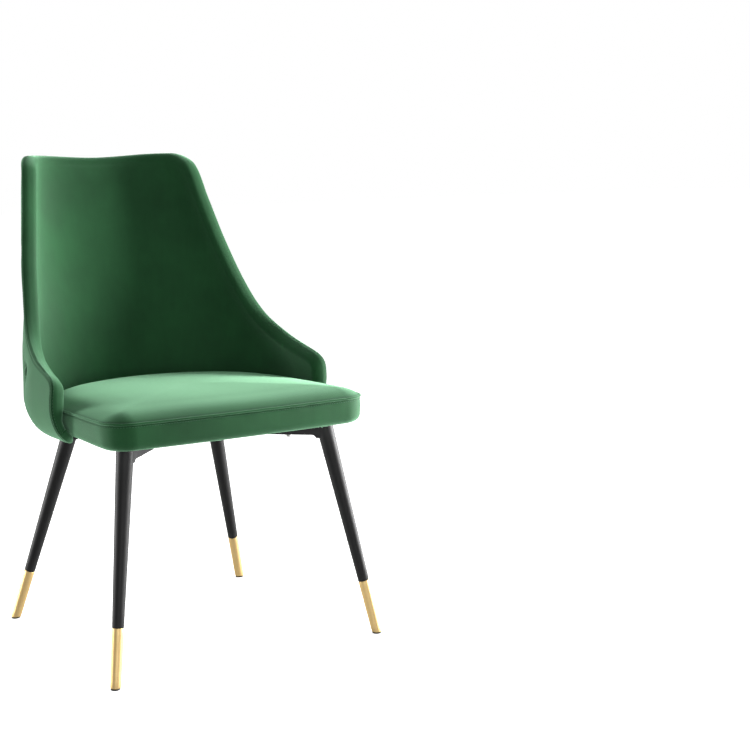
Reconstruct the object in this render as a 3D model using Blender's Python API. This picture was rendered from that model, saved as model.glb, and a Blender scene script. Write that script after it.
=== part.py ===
"""Upholstered dining chair: a moulded bucket back with a buttoned outer face, a crowned seat
cushion on a plywood deck, and four tapered steel legs with metal ferrules.

Metres, +Z up, the chair faces -Y. The x and y origin of the numbers below is the middle of the
four feet; CENTRE_Y moves the finished chair so that its bounding box is centred on the origin.
"""
import math

import bmesh
import bpy
import numpy as np
from mathutils import Matrix, Vector
from mathutils.geometry import delaunay_2d_cdt

CENTRE_Y = 0.0492
GAP = 0.0003
SIDES = ((1, "left"), (-1, "right"))

# Outer surface of the back, by height: half width, start of the rear curve, rear centre, fullness.
SECTION_Z = (0.38, 0.47, 0.58, 0.708, 0.822, 0.90)
HALF_WIDTH = (0.286, 0.284, 0.253, 0.227, 0.202, 0.190)
CURVE_START_Y = (0.0, 0.005, 0.080, 0.112, 0.161, 0.198)
REAR_Y = (0.244, 0.268, 0.292, 0.325, 0.353, 0.372)
FULLNESS = (2.3, 2.15, 2.32, 2.85, 3.1, 2.7)
# Edge of the back from the bottom of the arm, round the arm tip and up to the top corner.
# Below TURN_Z the height stands for the distance along the surface as it turns under.
RIM_Z = (0.357, 0.367, 0.385, 0.410, 0.450, 0.492, 0.502, 0.510, 0.520, 0.537, 0.578, 0.637,
         0.722, 0.807, 0.880, 0.897)
RIM_Y = (-0.030, -0.048, -0.060, -0.066, -0.070, -0.072, -0.065, -0.046, -0.012, 0.038, 0.111,
         0.159, 0.204, 0.237, 0.271, 0.300)
TOP_Z = 0.897
TOP_MIDDLE_DIP = 0.009
TOP_PEAK_X = 0.162
TOP_CORNER_DROP = 28.0
TOP_BLEND_Z = 0.80
# The lower edge of the back turns under the seat deck.
TURN_Z = 0.46
TURN_IN = 0.055
TURN_DOWN = 0.075
TURN_ARC = 0.103
# Build-up of the back, measured inwards from the outer face.
COVER = 0.002
RIM_THICKNESS = 0.030
REAR_EXTRA = 0.010
EXTRA_FADE = 0.06
FOAM_END_RIM = 0.0103
FOAM_END_REAR = 0.0163
FOAM_END_UNDER = 0.0053
CORE = 0.008
RIM_ROUND = 0.012
FIELD_LINE = 0.0121
FOAM_LINE = 0.0038
COVER_LINE = 0.0045
LINING_LINE = 0.0035
SEAM_GAP = 0.0008
# Levels of the lower edges of the outer and inner layers, and columns per half width.
OUTER_LOW = 0.357
INNER_FOAM_LOW = 0.425
INNER_COVER_LOW = 0.407
COLUMN_COUNT = 7
ROW_LEVELS = (0.357, 0.366, 0.380, 0.395, 0.407, 0.425, 0.443, 0.46, 0.478, 0.491, 0.499, 0.506,
              0.513, 0.523, 0.545, 0.585, 0.635, 0.685, 0.735, 0.785, 0.83, 0.865)
TINY = 1e-6

# Buttons of the outer back as (half spacing, height), row by row.
BUTTON_PLACES = ((0.085, 0.822), (0.0, 0.698), (0.164, 0.708), (0.083, 0.580), (0.225, 0.604),
                 (0.0, 0.459), (0.169, 0.470), (0.2696, 0.505))
BUTTON_RADIUS = 0.0115
BUTTON_HEIGHT = 0.0052
BUTTON_LIFT = 0.0004
DIMPLE_DEPTH = 0.008
DIMPLE_RINGS = ((0.0, 1.0), (0.013, 1.0), (0.022, 0.45), (0.034, 0.0))
DIMPLE_SPOKES = 6

# Seat cushion outline and heights.
SEAT_HALF_WIDTH = 0.2545
SEAT_FRONT_Y = -0.2625
SEAT_BOW = 0.006
SEAT_CORNER = 0.050
SEAT_CORNER_LEAST = 0.012
SEAT_REAR_HALF_WIDTH = 0.247
SEAT_REAR_START_Y = -0.04
SEAT_REAR_Y = 0.219
SEAT_REAR_FULLNESS = 2.2
SEAT_FLARE_SIDE = 0.003
SEAT_FLARE_REAR = 0.004
SEAT_BOTTOM_Z = 0.400
SEAT_SEAM_Z = 0.447
SEAT_BOTTOM_ROUND = 0.015
CROWN = 0.0205
CROWN_REACH = 0.025
WELT_RADIUS = 0.0022
FLANGE_INSET = 0.056
DECK_INSET = 0.017
DECK_THICKNESS = 0.014
DUST_INSET = 0.050
DUST_THICKNESS = 0.0012

# Legs: foot centre, and lean towards the middle per metre of height.
FRONT_FOOT = (0.2637, -0.2535)
FRONT_LEAN = (-0.1637, 0.1635)
REAR_FOOT = (0.2495, 0.2535)
REAR_LEAN = (-0.259, -0.2367)
LEG_TOP_Z = 0.3978
LEG_LENGTH = 0.41
LEG_SEAT_GAP = 0.0012
FERRULE_LENGTH = 0.102
FERRULE_TOP_RADIUS = 0.0100
FERRULE_BOTTOM_RADIUS = 0.0088
FERRULE_WALL = 0.0011
LEG_JOINT_RADIUS = 0.0101
LEG_TOP_RADIUS = 0.0155
LEG_WALL = 0.0015
SPIGOT_LOW = 0.012
SPIGOT_STEP = 0.004
GLIDE_SHOW = 0.003
GLIDE_EDGE = 0.0004
GLIDE_ROUND = 0.0011
GLIDE_PLUG_TOP = 0.022
LEG_SEGMENTS = 16

# Leg brackets: an open channel running inwards from the leg, with one bolt.
BRACKET_WIDTH = 0.028
BRACKET_WALL = 0.0025
BRACKET_LENGTH = 0.105
BRACKET_FRONT_Z = 0.374
BRACKET_REAR_Z = 0.364
BRACKET_NOTCH = 0.034
GUSSET = 0.006
CUT_LOW = 0.30
CUT_HIGH = 0.45
CUT_REACH = 0.05
BRACKET_START = 0.004
BOLT_REACH = 0.070
BOLT_RADIUS = 0.003
BOLT_HEAD_RADIUS = 0.0055
BOLT_HEAD_HEIGHT = 0.004
BOLT_HEAD_ROUND = 0.0012
BOLT_TOP_Z = 0.4130
HOLE_CLEARANCE = 0.0003
WASHER_RADIUS = 0.008
WASHER_THICKNESS = 0.0015
INSERT_RADIUS = 0.005
INSERT_TOP_Z = 0.4132
DRILL_LOW = 0.39
SMALL_SEGMENTS = 12


# ---------------------------------------------------------------- general helpers

def smooth(value):
    t = min(max(value, 0.0), 1.0)
    return t * t * (3.0 - 2.0 * t)


def monotone(xs, ys):
    """Smooth curve through the points that never overshoots them."""
    xs = np.array(xs)
    ys = np.array(ys)
    h = np.diff(xs)
    slope = np.diff(ys) / h
    tangent = np.zeros(len(xs))
    tangent[0] = slope[0]
    tangent[-1] = slope[-1]
    for k in range(1, len(xs) - 1):
        if slope[k - 1] * slope[k] > 0.0:
            w1 = 2.0 * h[k] + h[k - 1]
            w2 = h[k] + 2.0 * h[k - 1]
            tangent[k] = (w1 + w2) / (w1 / slope[k - 1] + w2 / slope[k])

    def curve(x):
        x = min(max(x, xs[0]), xs[-1])
        k = min(int(np.searchsorted(xs, x, side="right")) - 1, len(h) - 1)
        t = (x - xs[k]) / h[k]
        low = (1 + 2 * t) * (1 - t) ** 2 * ys[k] + t * (1 - t) ** 2 * h[k] * tangent[k]
        high = t * t * (3 - 2 * t) * ys[k + 1] + t * t * (t - 1) * h[k] * tangent[k + 1]
        return float(low + high)

    return curve


half_width = monotone(SECTION_Z, HALF_WIDTH)
curve_start = monotone(SECTION_Z, CURVE_START_Y)
rear_centre = monotone(SECTION_Z, REAR_Y)
fullness = monotone(SECTION_Z, FULLNESS)
rim_y = monotone(RIM_Z, RIM_Y)


def material(name, colour, metallic, roughness):
    mat = bpy.data.materials.new(name)
    mat.use_nodes = True
    shader = mat.node_tree.nodes["Principled BSDF"]
    shader.inputs["Base Color"].default_value = (*colour, 1.0)
    shader.inputs["Metallic"].default_value = metallic
    shader.inputs["Roughness"].default_value = roughness
    return mat


def make_materials():
    return {
        "velvet": material("velvet_green", (0.035, 0.16, 0.06), 0.0, 0.85),
        "foam": material("foam_cream", (0.75, 0.68, 0.45), 0.0, 0.9),
        "plywood": material("plywood_birch", (0.55, 0.38, 0.2), 0.0, 0.6),
        "dust": material("dust_cloth_black", (0.02, 0.02, 0.02), 0.0, 0.95),
        "steel": material("painted_steel_black", (0.025, 0.025, 0.027), 0.0, 0.45),
        "ferrule": material("ferrule_brass", (0.8, 0.58, 0.28), 1.0, 0.3),
        "glide": material("glide_plastic_black", (0.015, 0.015, 0.015), 0.0, 0.5),
        "zinc": material("zinc_fastener", (0.62, 0.62, 0.6), 1.0, 0.35),
    }


def body(name, verts, faces, mat):
    """Make one closed object, merging points that coincide and turning every face outwards."""
    mesh = bpy.data.meshes.new(name)
    mesh.from_pydata([tuple(v) for v in verts], [], faces)
    work = bmesh.new()
    work.from_mesh(mesh)
    bmesh.ops.remove_doubles(work, verts=work.verts, dist=0.00005)
    bmesh.ops.triangulate(work, faces=work.faces)
    bmesh.ops.recalc_face_normals(work, faces=work.faces)
    if work.calc_volume(signed=True) < 0.0:
        bmesh.ops.reverse_faces(work, faces=work.faces)
    work.to_mesh(mesh)
    work.free()
    mesh.materials.append(mat)
    thing = bpy.data.objects.new(name, mesh)
    bpy.context.scene.collection.objects.link(thing)
    return thing


def bridge(first, second):
    """Quads between two equal closed loops of point numbers."""
    count = len(first)
    return [(first[k], first[(k + 1) % count], second[(k + 1) % count], second[k])
            for k in range(count)]


def stack(loops, closed):
    """Points and faces of loops joined one after another; closed also joins last to first."""
    verts = [p for loop in loops for p in loop]
    count = len(loops[0])
    ids = [list(range(k * count, (k + 1) * count)) for k in range(len(loops))]
    faces = []
    for k in range(len(loops) - 1):
        faces += bridge(ids[k], ids[k + 1])
    if closed:
        faces += bridge(ids[-1], ids[0])
    return verts, faces


def capped(name, loops, mat):
    """Loops joined in order, with a flat fan over the first and the last loop."""
    verts, faces = stack(loops, False)
    count = len(loops[0])
    for loop, start in ((loops[0], 0), (loops[-1], (len(loops) - 1) * count)):
        centre = len(verts)
        verts.append(sum((Vector(p) for p in loop), Vector()) / count)
        faces += [(start + k, start + (k + 1) % count, centre) for k in range(count)]
    return body(name, verts, faces, mat)


def ringed(name, loops, mat):
    verts, faces = stack(loops, True)
    return body(name, verts, faces, mat)


def cut(thing, cutters):
    """Subtract the cutter objects from the thing and remove them."""
    for cutter in cutters:
        modifier = thing.modifiers.new("cut", "BOOLEAN")
        modifier.operation = "DIFFERENCE"
        modifier.solver = "EXACT"
        modifier.object = cutter
        cutter.hide_render = True
        cutter.display_type = "WIRE"
    bpy.context.view_layer.update()
    graph = bpy.context.evaluated_depsgraph_get()
    mesh = bpy.data.meshes.new_from_object(thing.evaluated_get(graph))
    thing.modifiers.clear()
    thing.data = mesh
    for cutter in cutters:
        bpy.data.objects.remove(cutter, do_unlink=True)


# ---------------------------------------------------------------- surface of the back

def section(z):
    """Half section at one height: distances from the rear centre with x and y."""
    a = half_width(z)
    start = curve_start(z)
    depth = rear_centre(z) - start
    power = fullness(z)
    angle = np.linspace(0.0, math.pi / 2, 49)
    x = a * np.sin(angle) ** (2.0 / power)
    y = start + depth * np.cos(angle) ** (2.0 / power)
    x = np.append(x, a)
    y = np.append(y, start - 0.2)
    s = np.append(0.0, np.cumsum(np.hypot(np.diff(x), np.diff(y))))
    return s, x, y


def top_height(x):
    """Height of the top edge: a shallow dip in the middle and rounded top corners."""
    if abs(x) < TOP_PEAK_X:
        return TOP_Z - TOP_MIDDLE_DIP * (1.0 - smooth(abs(x) / TOP_PEAK_X))
    return TOP_Z - TOP_CORNER_DROP * (abs(x) - TOP_PEAK_X) ** 2


def level_to_z(level, x):
    """Levels are heights that bend near the top so that the last one follows the top edge."""
    if level <= TOP_BLEND_Z:
        return level
    share = (level - TOP_BLEND_Z) / (TOP_Z - TOP_BLEND_Z)
    return TOP_BLEND_Z + (top_height(x) - TOP_BLEND_Z) * share


def reach(level):
    """Distance along the surface from the rear centre to the rim."""
    z = max(level, TURN_Z)
    for _ in range(3):
        s, x, y = section(z)
        edge = rim_y(z if level > TURN_Z else level)
        found = float(np.interp(-edge, -y, s))
        z = level_to_z(max(level, TURN_Z), float(np.interp(found, s, x)))
    return found


def implicit(x, y, z):
    """Below one inside the outer surface and above one outside it."""
    start = curve_start(z)
    across = abs(x) / half_width(z)
    along = max(y - start, 0.0) / (rear_centre(z) - start)
    power = fullness(z)
    return across ** power + along ** power


def surface(level, distance):
    """Point and outward normal of the outer surface of the back."""
    side = -1.0 if distance < 0.0 else 1.0
    z = max(level, TURN_Z)
    s, x, y = section(z)
    if z > TOP_BLEND_Z:
        z = level_to_z(z, float(np.interp(abs(distance), s, x)))
        s, x, y = section(z)
    px = float(np.interp(abs(distance), s, x))
    py = float(np.interp(abs(distance), s, y))
    step = 0.0005
    grad = Vector((
        implicit(px + step, py, z) - implicit(px - step, py, z),
        implicit(px, py + step, z) - implicit(px, py - step, z),
        implicit(px, py, z + step) - implicit(px, py, z - step)))
    if level >= TURN_Z:
        return Vector((side * px, py, z)), Vector((side * grad.x, grad.y, grad.z)).normalized()
    flat = Vector((side * grad.x, grad.y, 0.0)).normalized()
    turn = min((TURN_Z - level) / TURN_ARC, 1.0)
    angle = turn * math.pi / 2
    inwards = TURN_IN * (1.0 - math.cos(angle))
    point = Vector((side * px, py, TURN_Z)) - flat * inwards
    point.z -= TURN_DOWN * math.sin(angle)
    normal = flat * (math.cos(angle) / TURN_IN)
    normal.z = -math.sin(angle) / TURN_DOWN
    return point, normal.normalized()


def turned(level):
    """How far the lower edge has turned under, from 0 to 1."""
    return min(max((TURN_Z - level) / TURN_ARC, 0.0), 1.0)


def build_up(level, normal, edge):
    """Depths of the ends of the outer foam, the core and the whole wall."""
    rear = normal.y * normal.y * smooth(edge / EXTRA_FADE) * (1.0 - turned(level))
    foam = FOAM_END_RIM + (FOAM_END_REAR - FOAM_END_RIM) * rear
    foam += (FOAM_END_UNDER - foam) * turned(level)
    wall = RIM_THICKNESS + REAR_EXTRA * rear
    core = foam + GAP + CORE
    thin = core + COVER + 4 * GAP
    wall += (thin - wall) * smooth(turned(level) / 0.45)
    return foam, core, wall


def levels(low, top_edges):
    """Row levels from the lower edge to the rings at the top edge."""
    rows = [row for row in ROW_LEVELS if row >= low - TINY]
    return rows + [TOP_Z - edge for edge in top_edges]


def columns(level, edges):
    """Signed distances from the rear centre of the points in one row."""
    full = reach(level)
    inner = full - edges[-1]
    half = [full - edge for edge in edges[:-1]]
    half += [inner * k / COLUMN_COUNT for k in range(COLUMN_COUNT, 0, -1)]
    return [-value for value in half] + [0.0] + half[::-1]


def grid(low, edges, depth_of):
    """Rows of points, each the outer surface moved inwards by its own depth."""
    rows = []
    places = row_places(low, edges)
    for j, places_row in enumerate(places):
        level = places_row[0][0]
        full = reach(level)
        line = []
        for i, (_, distance) in enumerate(places_row):
            point, normal = surface(level, distance)
            edge = min(full - abs(distance), TOP_Z - level)
            rank = min(i, len(places_row) - 1 - i, len(places) - 1 - j)
            line.append(point - normal * depth_of(level, normal, edge, rank))
        rows.append(line)
    return rows


def row_places(low, edges):
    """Every grid point as (level, distance), row by row."""
    return [[(level, distance) for distance in columns(level, edges)]
            for level in levels(low, edges[::-1])]


def border_of(rows):
    """The outermost points of a grid, once round."""
    loop = list(rows[0])
    loop += [row[-1] for row in rows[1:]]
    loop += rows[-1][-2::-1]
    loop += [row[0] for row in rows[-2:0:-1]]
    return loop


def join_skins(name, outer, inner, mat):
    """Close two grids of the same size into one solid."""
    height = len(outer)
    width = len(outer[0])
    offset = height * width
    first = [[j * width + i for i in range(width)] for j in range(height)]
    second = [[offset + k for k in row] for row in first]
    faces = []
    for j in range(height - 1):
        for i in range(width - 1):
            faces.append((first[j][i], first[j][i + 1], first[j + 1][i + 1], first[j + 1][i]))
            faces.append((second[j][i], second[j + 1][i], second[j + 1][i + 1],
                          second[j][i + 1]))
    faces += bridge(border_of(first), border_of(second))
    verts = [p for row in outer for p in row] + [p for row in inner for p in row]
    return body(name, verts, faces, mat)


# ---------------------------------------------------------------- parts of the back

def make_back_core(mats):
    edges = (COVER + GAP, FIELD_LINE)

    def outer_face(level, normal, edge, rank):
        return build_up(level, normal, edge)[0] + GAP

    def inner_face(level, normal, edge, rank):
        return build_up(level, normal, edge)[1]

    join_skins("back_core", grid(OUTER_LOW, edges, outer_face),
               grid(OUTER_LOW, edges, inner_face), mats["plywood"])


def make_back_inner_foam(mats):
    edges = (COVER + GAP, FOAM_LINE, FIELD_LINE)

    def outer_face(level, normal, edge, rank):
        return build_up(level, normal, edge)[1] + 2 * GAP

    def inner_face(level, normal, edge, rank):
        _, core, wall = build_up(level, normal, edge)
        radius = max(min(RIM_ROUND, wall - core - 6 * GAP) - COVER, 0.0001)
        return wall - COVER - 5 * GAP - rounding(edge - COVER - GAP, radius)

    join_skins("back_inner_foam", grid(INNER_FOAM_LOW, edges, outer_face),
               grid(INNER_FOAM_LOW, edges, inner_face), mats["foam"])


def rounding(edge, radius):
    """Drop of a rounded edge at a distance from the edge."""
    if edge >= radius:
        return 0.0
    return radius - math.sqrt(max(radius * radius - (radius - edge) ** 2, 0.0))


def make_back_inner_cover(mats):
    """Skin over the inner face that wraps round the rim to the seam at the outer corner."""

    def rim_depth(level, normal, edge, rank, inset):
        _, core, wall = build_up(level, normal, edge)
        if rank == 0:
            return COVER + SEAM_GAP
        radius = min(RIM_ROUND, wall - core - 6 * GAP)
        return wall - inset - rounding(edge - inset, radius - inset)

    def face(level, normal, edge, rank):
        return rim_depth(level, normal, edge, rank, 0.0)

    def lining(level, normal, edge, rank):
        return rim_depth(level, normal, edge, rank, COVER)

    join_skins("back_inner_cover",
               grid(INNER_COVER_LOW, (0.0, 0.0, COVER_LINE, FIELD_LINE), face),
               grid(INNER_COVER_LOW, (COVER, COVER, LINING_LINE, FIELD_LINE), lining), mats["velvet"])


def button_spots():
    """Place of every button on the surface: level, distance, and a name."""
    spots = []
    for x, z in BUTTON_PLACES:
        level = z
        if z > TOP_BLEND_Z:
            share = (z - TOP_BLEND_Z) / (top_height(x) - TOP_BLEND_Z)
            level = TOP_BLEND_Z + (TOP_Z - TOP_BLEND_Z) * share
        s, sx, _ = section(max(z, TURN_Z))
        distance = float(np.interp(x, sx[:-1], s[:-1]))
        for side in ((1,) if x == 0.0 else (1, -1)):
            spots.append((level, side * distance))
    return spots


def dimple(level, distance, spots):
    """Depth of the nearest button dimple at a place on the surface."""
    radii = [r for r, _ in DIMPLE_RINGS]
    shares = [k for _, k in DIMPLE_RINGS]
    near = min(math.hypot(level - lv, distance - ds) for lv, ds in spots)
    return DIMPLE_DEPTH * float(np.interp(near, radii, shares))


def dimpled_pattern(low, edges, spots):
    """Places and triangles of a dimpled skin: the plain grid refined round every button."""
    rows = row_places(low, edges)
    kept = border_of(rows)
    border_count = len(kept)
    reach_out = DIMPLE_RINGS[-1][0] + 0.006
    for row in rows[1:-1]:
        for level, distance in row[1:-1]:
            if all(math.hypot(level - lv, distance - ds) > reach_out for lv, ds in spots):
                kept.append((level, distance))
    for level, distance in spots:
        kept.append((level, distance))
        for ring, (radius, _) in enumerate(DIMPLE_RINGS[1:]):
            for spoke in range(DIMPLE_SPOKES):
                turn = 2 * math.pi * (spoke + 0.5 * (ring % 2)) / DIMPLE_SPOKES
                kept.append((level + radius * math.sin(turn), distance + radius * math.cos(turn)))
    flat = [Vector((distance, level)) for level, distance in kept]
    result = delaunay_2d_cdt(flat, [], [list(range(border_count))], 1, 1e-7)
    triangles, sources = result[2], result[3]
    places = [kept[source[0]] for source in sources]
    order = {source[0]: k for k, source in enumerate(sources)}
    return places, [tuple(t) for t in triangles], [order[k] for k in range(border_count)]


def dimpled_points(places, depth_of, spots):
    """Points of a dimpled skin; the floor of every dimple is flat."""
    floors = [surface(level, distance) for level, distance in spots]
    points = []
    for level, distance in places:
        point, normal = surface(level, distance)
        edge = max(min(reach(level) - abs(distance), TOP_Z - level), 0.0)
        depth = depth_of(level, normal, edge) + dimple(level, distance, spots)
        gaps = [math.hypot(level - lv, distance - ds) for lv, ds in spots]
        nearest = gaps.index(min(gaps))
        if gaps[nearest] < DIMPLE_RINGS[1][0] + GAP:
            middle, axis = floors[nearest]
            point -= axis * ((point - middle).dot(axis) + depth)
        else:
            point -= normal * depth
        points.append(point)
    return points


def make_back_outer_cover(mats, pattern, spots):
    places, tris, border = pattern
    outside = dimpled_points(places, lambda level, normal, edge: 0.0, spots)
    inside = dimpled_points(places, lambda level, normal, edge: COVER, spots)
    offset = len(places)
    faces = list(tris) + [tuple(offset + k for k in tri[::-1]) for tri in tris]
    faces += bridge(border, [offset + k for k in border])
    body("back_outer_cover", outside + inside, faces, mats["velvet"])


def make_back_outer_foam(mats, pattern, spots):
    """Pad under the outer cover: dimpled outside, smooth against the core."""
    edges = (COVER + GAP, FIELD_LINE)
    places, tris, border = pattern
    places = list(places)
    for k, place in zip(border, border_of(row_places(OUTER_LOW, edges))):
        places[k] = place
    outside = dimpled_points(places, lambda level, normal, edge: COVER + GAP + (
        SEAM_GAP * smooth(1.0 - edge / RIM_ROUND)), spots)
    rows = grid(OUTER_LOW, edges, lambda level, normal, edge, rank:
                build_up(level, normal, edge)[0])
    width = len(rows[0])
    height = len(rows)
    offset = len(places)
    numbers = [[offset + j * width + i for i in range(width)] for j in range(height)]
    faces = list(tris)
    for j in range(height - 1):
        for i in range(width - 1):
            faces.append((numbers[j][i], numbers[j + 1][i], numbers[j + 1][i + 1],
                          numbers[j][i + 1]))
    faces += bridge(border, border_of(numbers))
    inside = [p for row in rows for p in row]
    body("back_outer_foam", outside + inside, faces, mats["foam"])


def make_buttons(mats, spots):
    """Covered buttons, domed, sitting in the dimples of the outer cover."""
    profile = ((1.0, 0.0), (1.0, 0.45), (0.8, 0.82), (0.4, 0.98))
    for number, (level, distance) in enumerate(spots, start=1):
        point, normal = surface(level, distance)
        turn = normal.to_track_quat("Z", "Y")
        base = point - normal * (DIMPLE_DEPTH - BUTTON_LIFT)
        loops = []
        for share, rise in profile:
            loops.append([base + turn @ Vector((
                BUTTON_RADIUS * share * math.cos(2 * math.pi * k / SMALL_SEGMENTS),
                BUTTON_RADIUS * share * math.sin(2 * math.pi * k / SMALL_SEGMENTS),
                BUTTON_HEIGHT * rise)) for k in range(SMALL_SEGMENTS)])
        capped(f"back_button_{number:02d}", loops, mats["velvet"])


# ---------------------------------------------------------------- parts of the seat

def seat_outline(inset, z):
    """Closed outline of the seat, made smaller by the inset, at one height."""
    lift = min(max((z - SEAT_BOTTOM_Z) / (SEAT_SEAM_Z - SEAT_BOTTOM_Z), 0.0), 1.0)
    wide = SEAT_HALF_WIDTH - inset
    front = SEAT_FRONT_Y + inset
    corner = max(SEAT_CORNER - inset, SEAT_CORNER_LEAST)
    rear_wide = SEAT_REAR_HALF_WIDTH + SEAT_FLARE_SIDE * lift - inset
    rear = SEAT_REAR_Y + SEAT_FLARE_REAR * lift - inset
    start = SEAT_REAR_START_Y
    half = []
    for k in range(4):
        t = k / 4
        half.append(((wide - corner) * t, front - SEAT_BOW * (1.0 - t * t)))
    for k in range(5):
        angle = math.pi / 2 * k / 4
        half.append((wide - corner + corner * math.sin(angle),
                     front + corner - corner * math.cos(angle)))
    for k in range(1, 3):
        t = k / 3
        side_y = front + corner + (start - front - corner) * t
        half.append((wide + (rear_wide - wide) * smooth(t), side_y))
    for k in range(9):
        angle = math.pi / 2 * (1.0 - k / 8)
        power = 2.0 / SEAT_REAR_FULLNESS
        half.append((rear_wide * math.sin(angle) ** power,
                     start + (rear - start) * max(math.cos(angle), 0.0) ** power))
    half[-1] = (0.0, half[-1][1])
    loop = [Vector((x, y, z)) for x, y in half]
    loop += [Vector((-x, y, z)) for x, y in half[-2:0:-1]]
    return loop


def crown_height(inset):
    return SEAT_SEAM_Z + WELT_RADIUS + GAP + CROWN * (1.0 - math.exp(-inset / CROWN_REACH))


CROWN_RINGS = (0.0, 0.004, 0.012, 0.03, 0.07, 0.13, 0.20)


def make_seat_band_cover(mats):
    """Velvet band round the cushion, turned under the deck with a wide flange."""
    bottom = SEAT_BOTTOM_Z
    top = SEAT_SEAM_Z - WELT_RADIUS - GAP
    outer = [(FLANGE_INSET, bottom)]
    inner = [(FLANGE_INSET, bottom + COVER)]
    for k in range(4):
        angle = math.pi / 2 * k / 3
        inset = SEAT_BOTTOM_ROUND * (1.0 - math.sin(angle))
        rise = SEAT_BOTTOM_ROUND * (1.0 - math.cos(angle))
        outer.append((inset, bottom + rise))
        tight = (SEAT_BOTTOM_ROUND - COVER) / SEAT_BOTTOM_ROUND
        inner.append((COVER + inset * tight, bottom + COVER + rise * tight))
    outer.append((0.0, top))
    inner.append((COVER, top))
    loops = [seat_outline(inset, z) for inset, z in outer + inner[::-1]]
    ringed("seat_band_cover", loops, mats["velvet"])


def make_seat_welt(mats):
    loops = []
    for k in range(6):
        angle = math.pi * (k + 0.5) / 3
        inset = -0.1 * WELT_RADIUS - WELT_RADIUS * math.cos(angle)
        loops.append(seat_outline(inset, SEAT_SEAM_Z + WELT_RADIUS * math.sin(angle)))
    ringed("seat_welt", loops, mats["velvet"])


def make_seat_top_cover(mats):
    outer = [seat_outline(inset, crown_height(inset)) for inset in CROWN_RINGS]
    inner = [seat_outline(max(inset, COVER), crown_height(inset) - COVER)
             for inset in CROWN_RINGS[1:]]
    edge = seat_outline(COVER, crown_height(0.0))
    capped("seat_top_cover", outer[::-1] + [edge] + inner, mats["velvet"])


def make_seat_foam(mats):
    """Cushion pad: crowned above, flat on the deck, with a skirt round the deck's edge."""
    skirt = []
    radius = SEAT_BOTTOM_ROUND - COVER - GAP
    for k in range(1, 4):
        angle = math.pi / 2 * k / 3
        inset = COVER + GAP + radius * (1.0 - math.sin(angle))
        skirt.append(seat_outline(inset, SEAT_BOTTOM_Z + COVER + GAP
                                  + radius * (1.0 - math.cos(angle))))
    start = seat_outline(DECK_INSET - GAP, SEAT_BOTTOM_Z + COVER + GAP)
    deck_top = SEAT_BOTTOM_Z + COVER + DECK_THICKNESS + GAP * 2
    shelf = seat_outline(DECK_INSET - GAP, deck_top)
    crown = [seat_outline(max(inset, COVER) + GAP, crown_height(inset) - COVER - GAP)
             for inset in CROWN_RINGS]
    capped("seat_foam", [shelf, start] + skirt + crown, mats["foam"])


def bolt_spots():
    """Plan position and name of every bracket bolt."""
    spots = []
    for end in ("front", "rear"):
        for side, side_name in SIDES:
            origin, direction, _ = bracket_line(end, side)
            spots.append((origin + direction * BOLT_REACH, f"{end}_{side_name}"))
    return spots


def drill(spot, radius, low, high):
    loops = []
    for z in (low, high):
        loops.append([Vector((spot.x + radius * math.cos(2 * math.pi * k / SMALL_SEGMENTS),
                              spot.y + radius * math.sin(2 * math.pi * k / SMALL_SEGMENTS), z))
                      for k in range(SMALL_SEGMENTS)])
    return loops


def make_seat_deck(mats):
    low = SEAT_BOTTOM_Z + COVER + GAP
    deck = capped("seat_deck", [seat_outline(DECK_INSET, low + DECK_THICKNESS),
                                seat_outline(DECK_INSET, low)], mats["plywood"])
    cutters = [capped("deck_drill", drill(spot, INSERT_RADIUS + GAP, DRILL_LOW, INSERT_TOP_Z + GAP),
                      mats["plywood"]) for spot, _ in bolt_spots()]
    cut(deck, cutters)


def make_seat_dust_cover(mats):
    high = SEAT_BOTTOM_Z - GAP
    cloth = capped("seat_dust_cover", [seat_outline(DUST_INSET, high),
                                       seat_outline(DUST_INSET, high - DUST_THICKNESS)],
                   mats["dust"])
    cutters = [capped("dust_drill", drill(spot, BOLT_RADIUS + HOLE_CLEARANCE, DRILL_LOW, INSERT_TOP_Z),
                      mats["dust"]) for spot, _ in bolt_spots()]
    cut(cloth, cutters)


# ---------------------------------------------------------------- legs and brackets

def leg_axis(end, side):
    foot, lean = (FRONT_FOOT, FRONT_LEAN) if end == "front" else (REAR_FOOT, REAR_LEAN)
    origin = Vector((side * foot[0], foot[1], 0.0))
    direction = Vector((side * lean[0], lean[1], 1.0))
    return origin, direction


def leg_frame(end, side):
    origin, slope = leg_axis(end, side)
    along = slope.normalized()
    across = along.cross(Vector((0, 0, 1))).normalized()
    return origin, slope, along, across, along.cross(across)


def leg_loop(end, side, length, radius, plane_z=None):
    """Circle round the leg at a length from the floor, or its cut by a level plane."""
    origin, _, along, across, third = leg_frame(end, side)
    loop = []
    for k in range(LEG_SEGMENTS):
        angle = 2 * math.pi * k / LEG_SEGMENTS
        point = origin + along * length + (across * math.cos(angle)
                                           + third * math.sin(angle)) * radius
        if plane_z is not None:
            point += along * ((plane_z - point.z) / along.z)
        loop.append(point)
    return loop


def underside(x, y):
    """Height of the turned lower edge of the back over a place in plan."""
    _, sx, sy = section(TURN_Z)
    near = min(math.hypot(abs(x) - px, y - py) for px, py in zip(sx, sy))
    angle = math.acos(max(1.0 - near / TURN_IN, 0.0))
    return TURN_Z - TURN_DOWN * math.sin(angle)


def leg_top_loop(end, side, radius):
    """Top edge of a leg: level under the seat at the front, fitted to the back at the rear."""
    top = LEG_TOP_Z
    loop = leg_loop(end, side, top, radius, top)
    if end == "front":
        return loop
    along = leg_frame(end, side)[2]
    for _ in range(6):
        loop = [p + along * ((underside(p.x, p.y) - LEG_SEAT_GAP - p.z) / along.z) for p in loop]
    return loop


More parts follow.
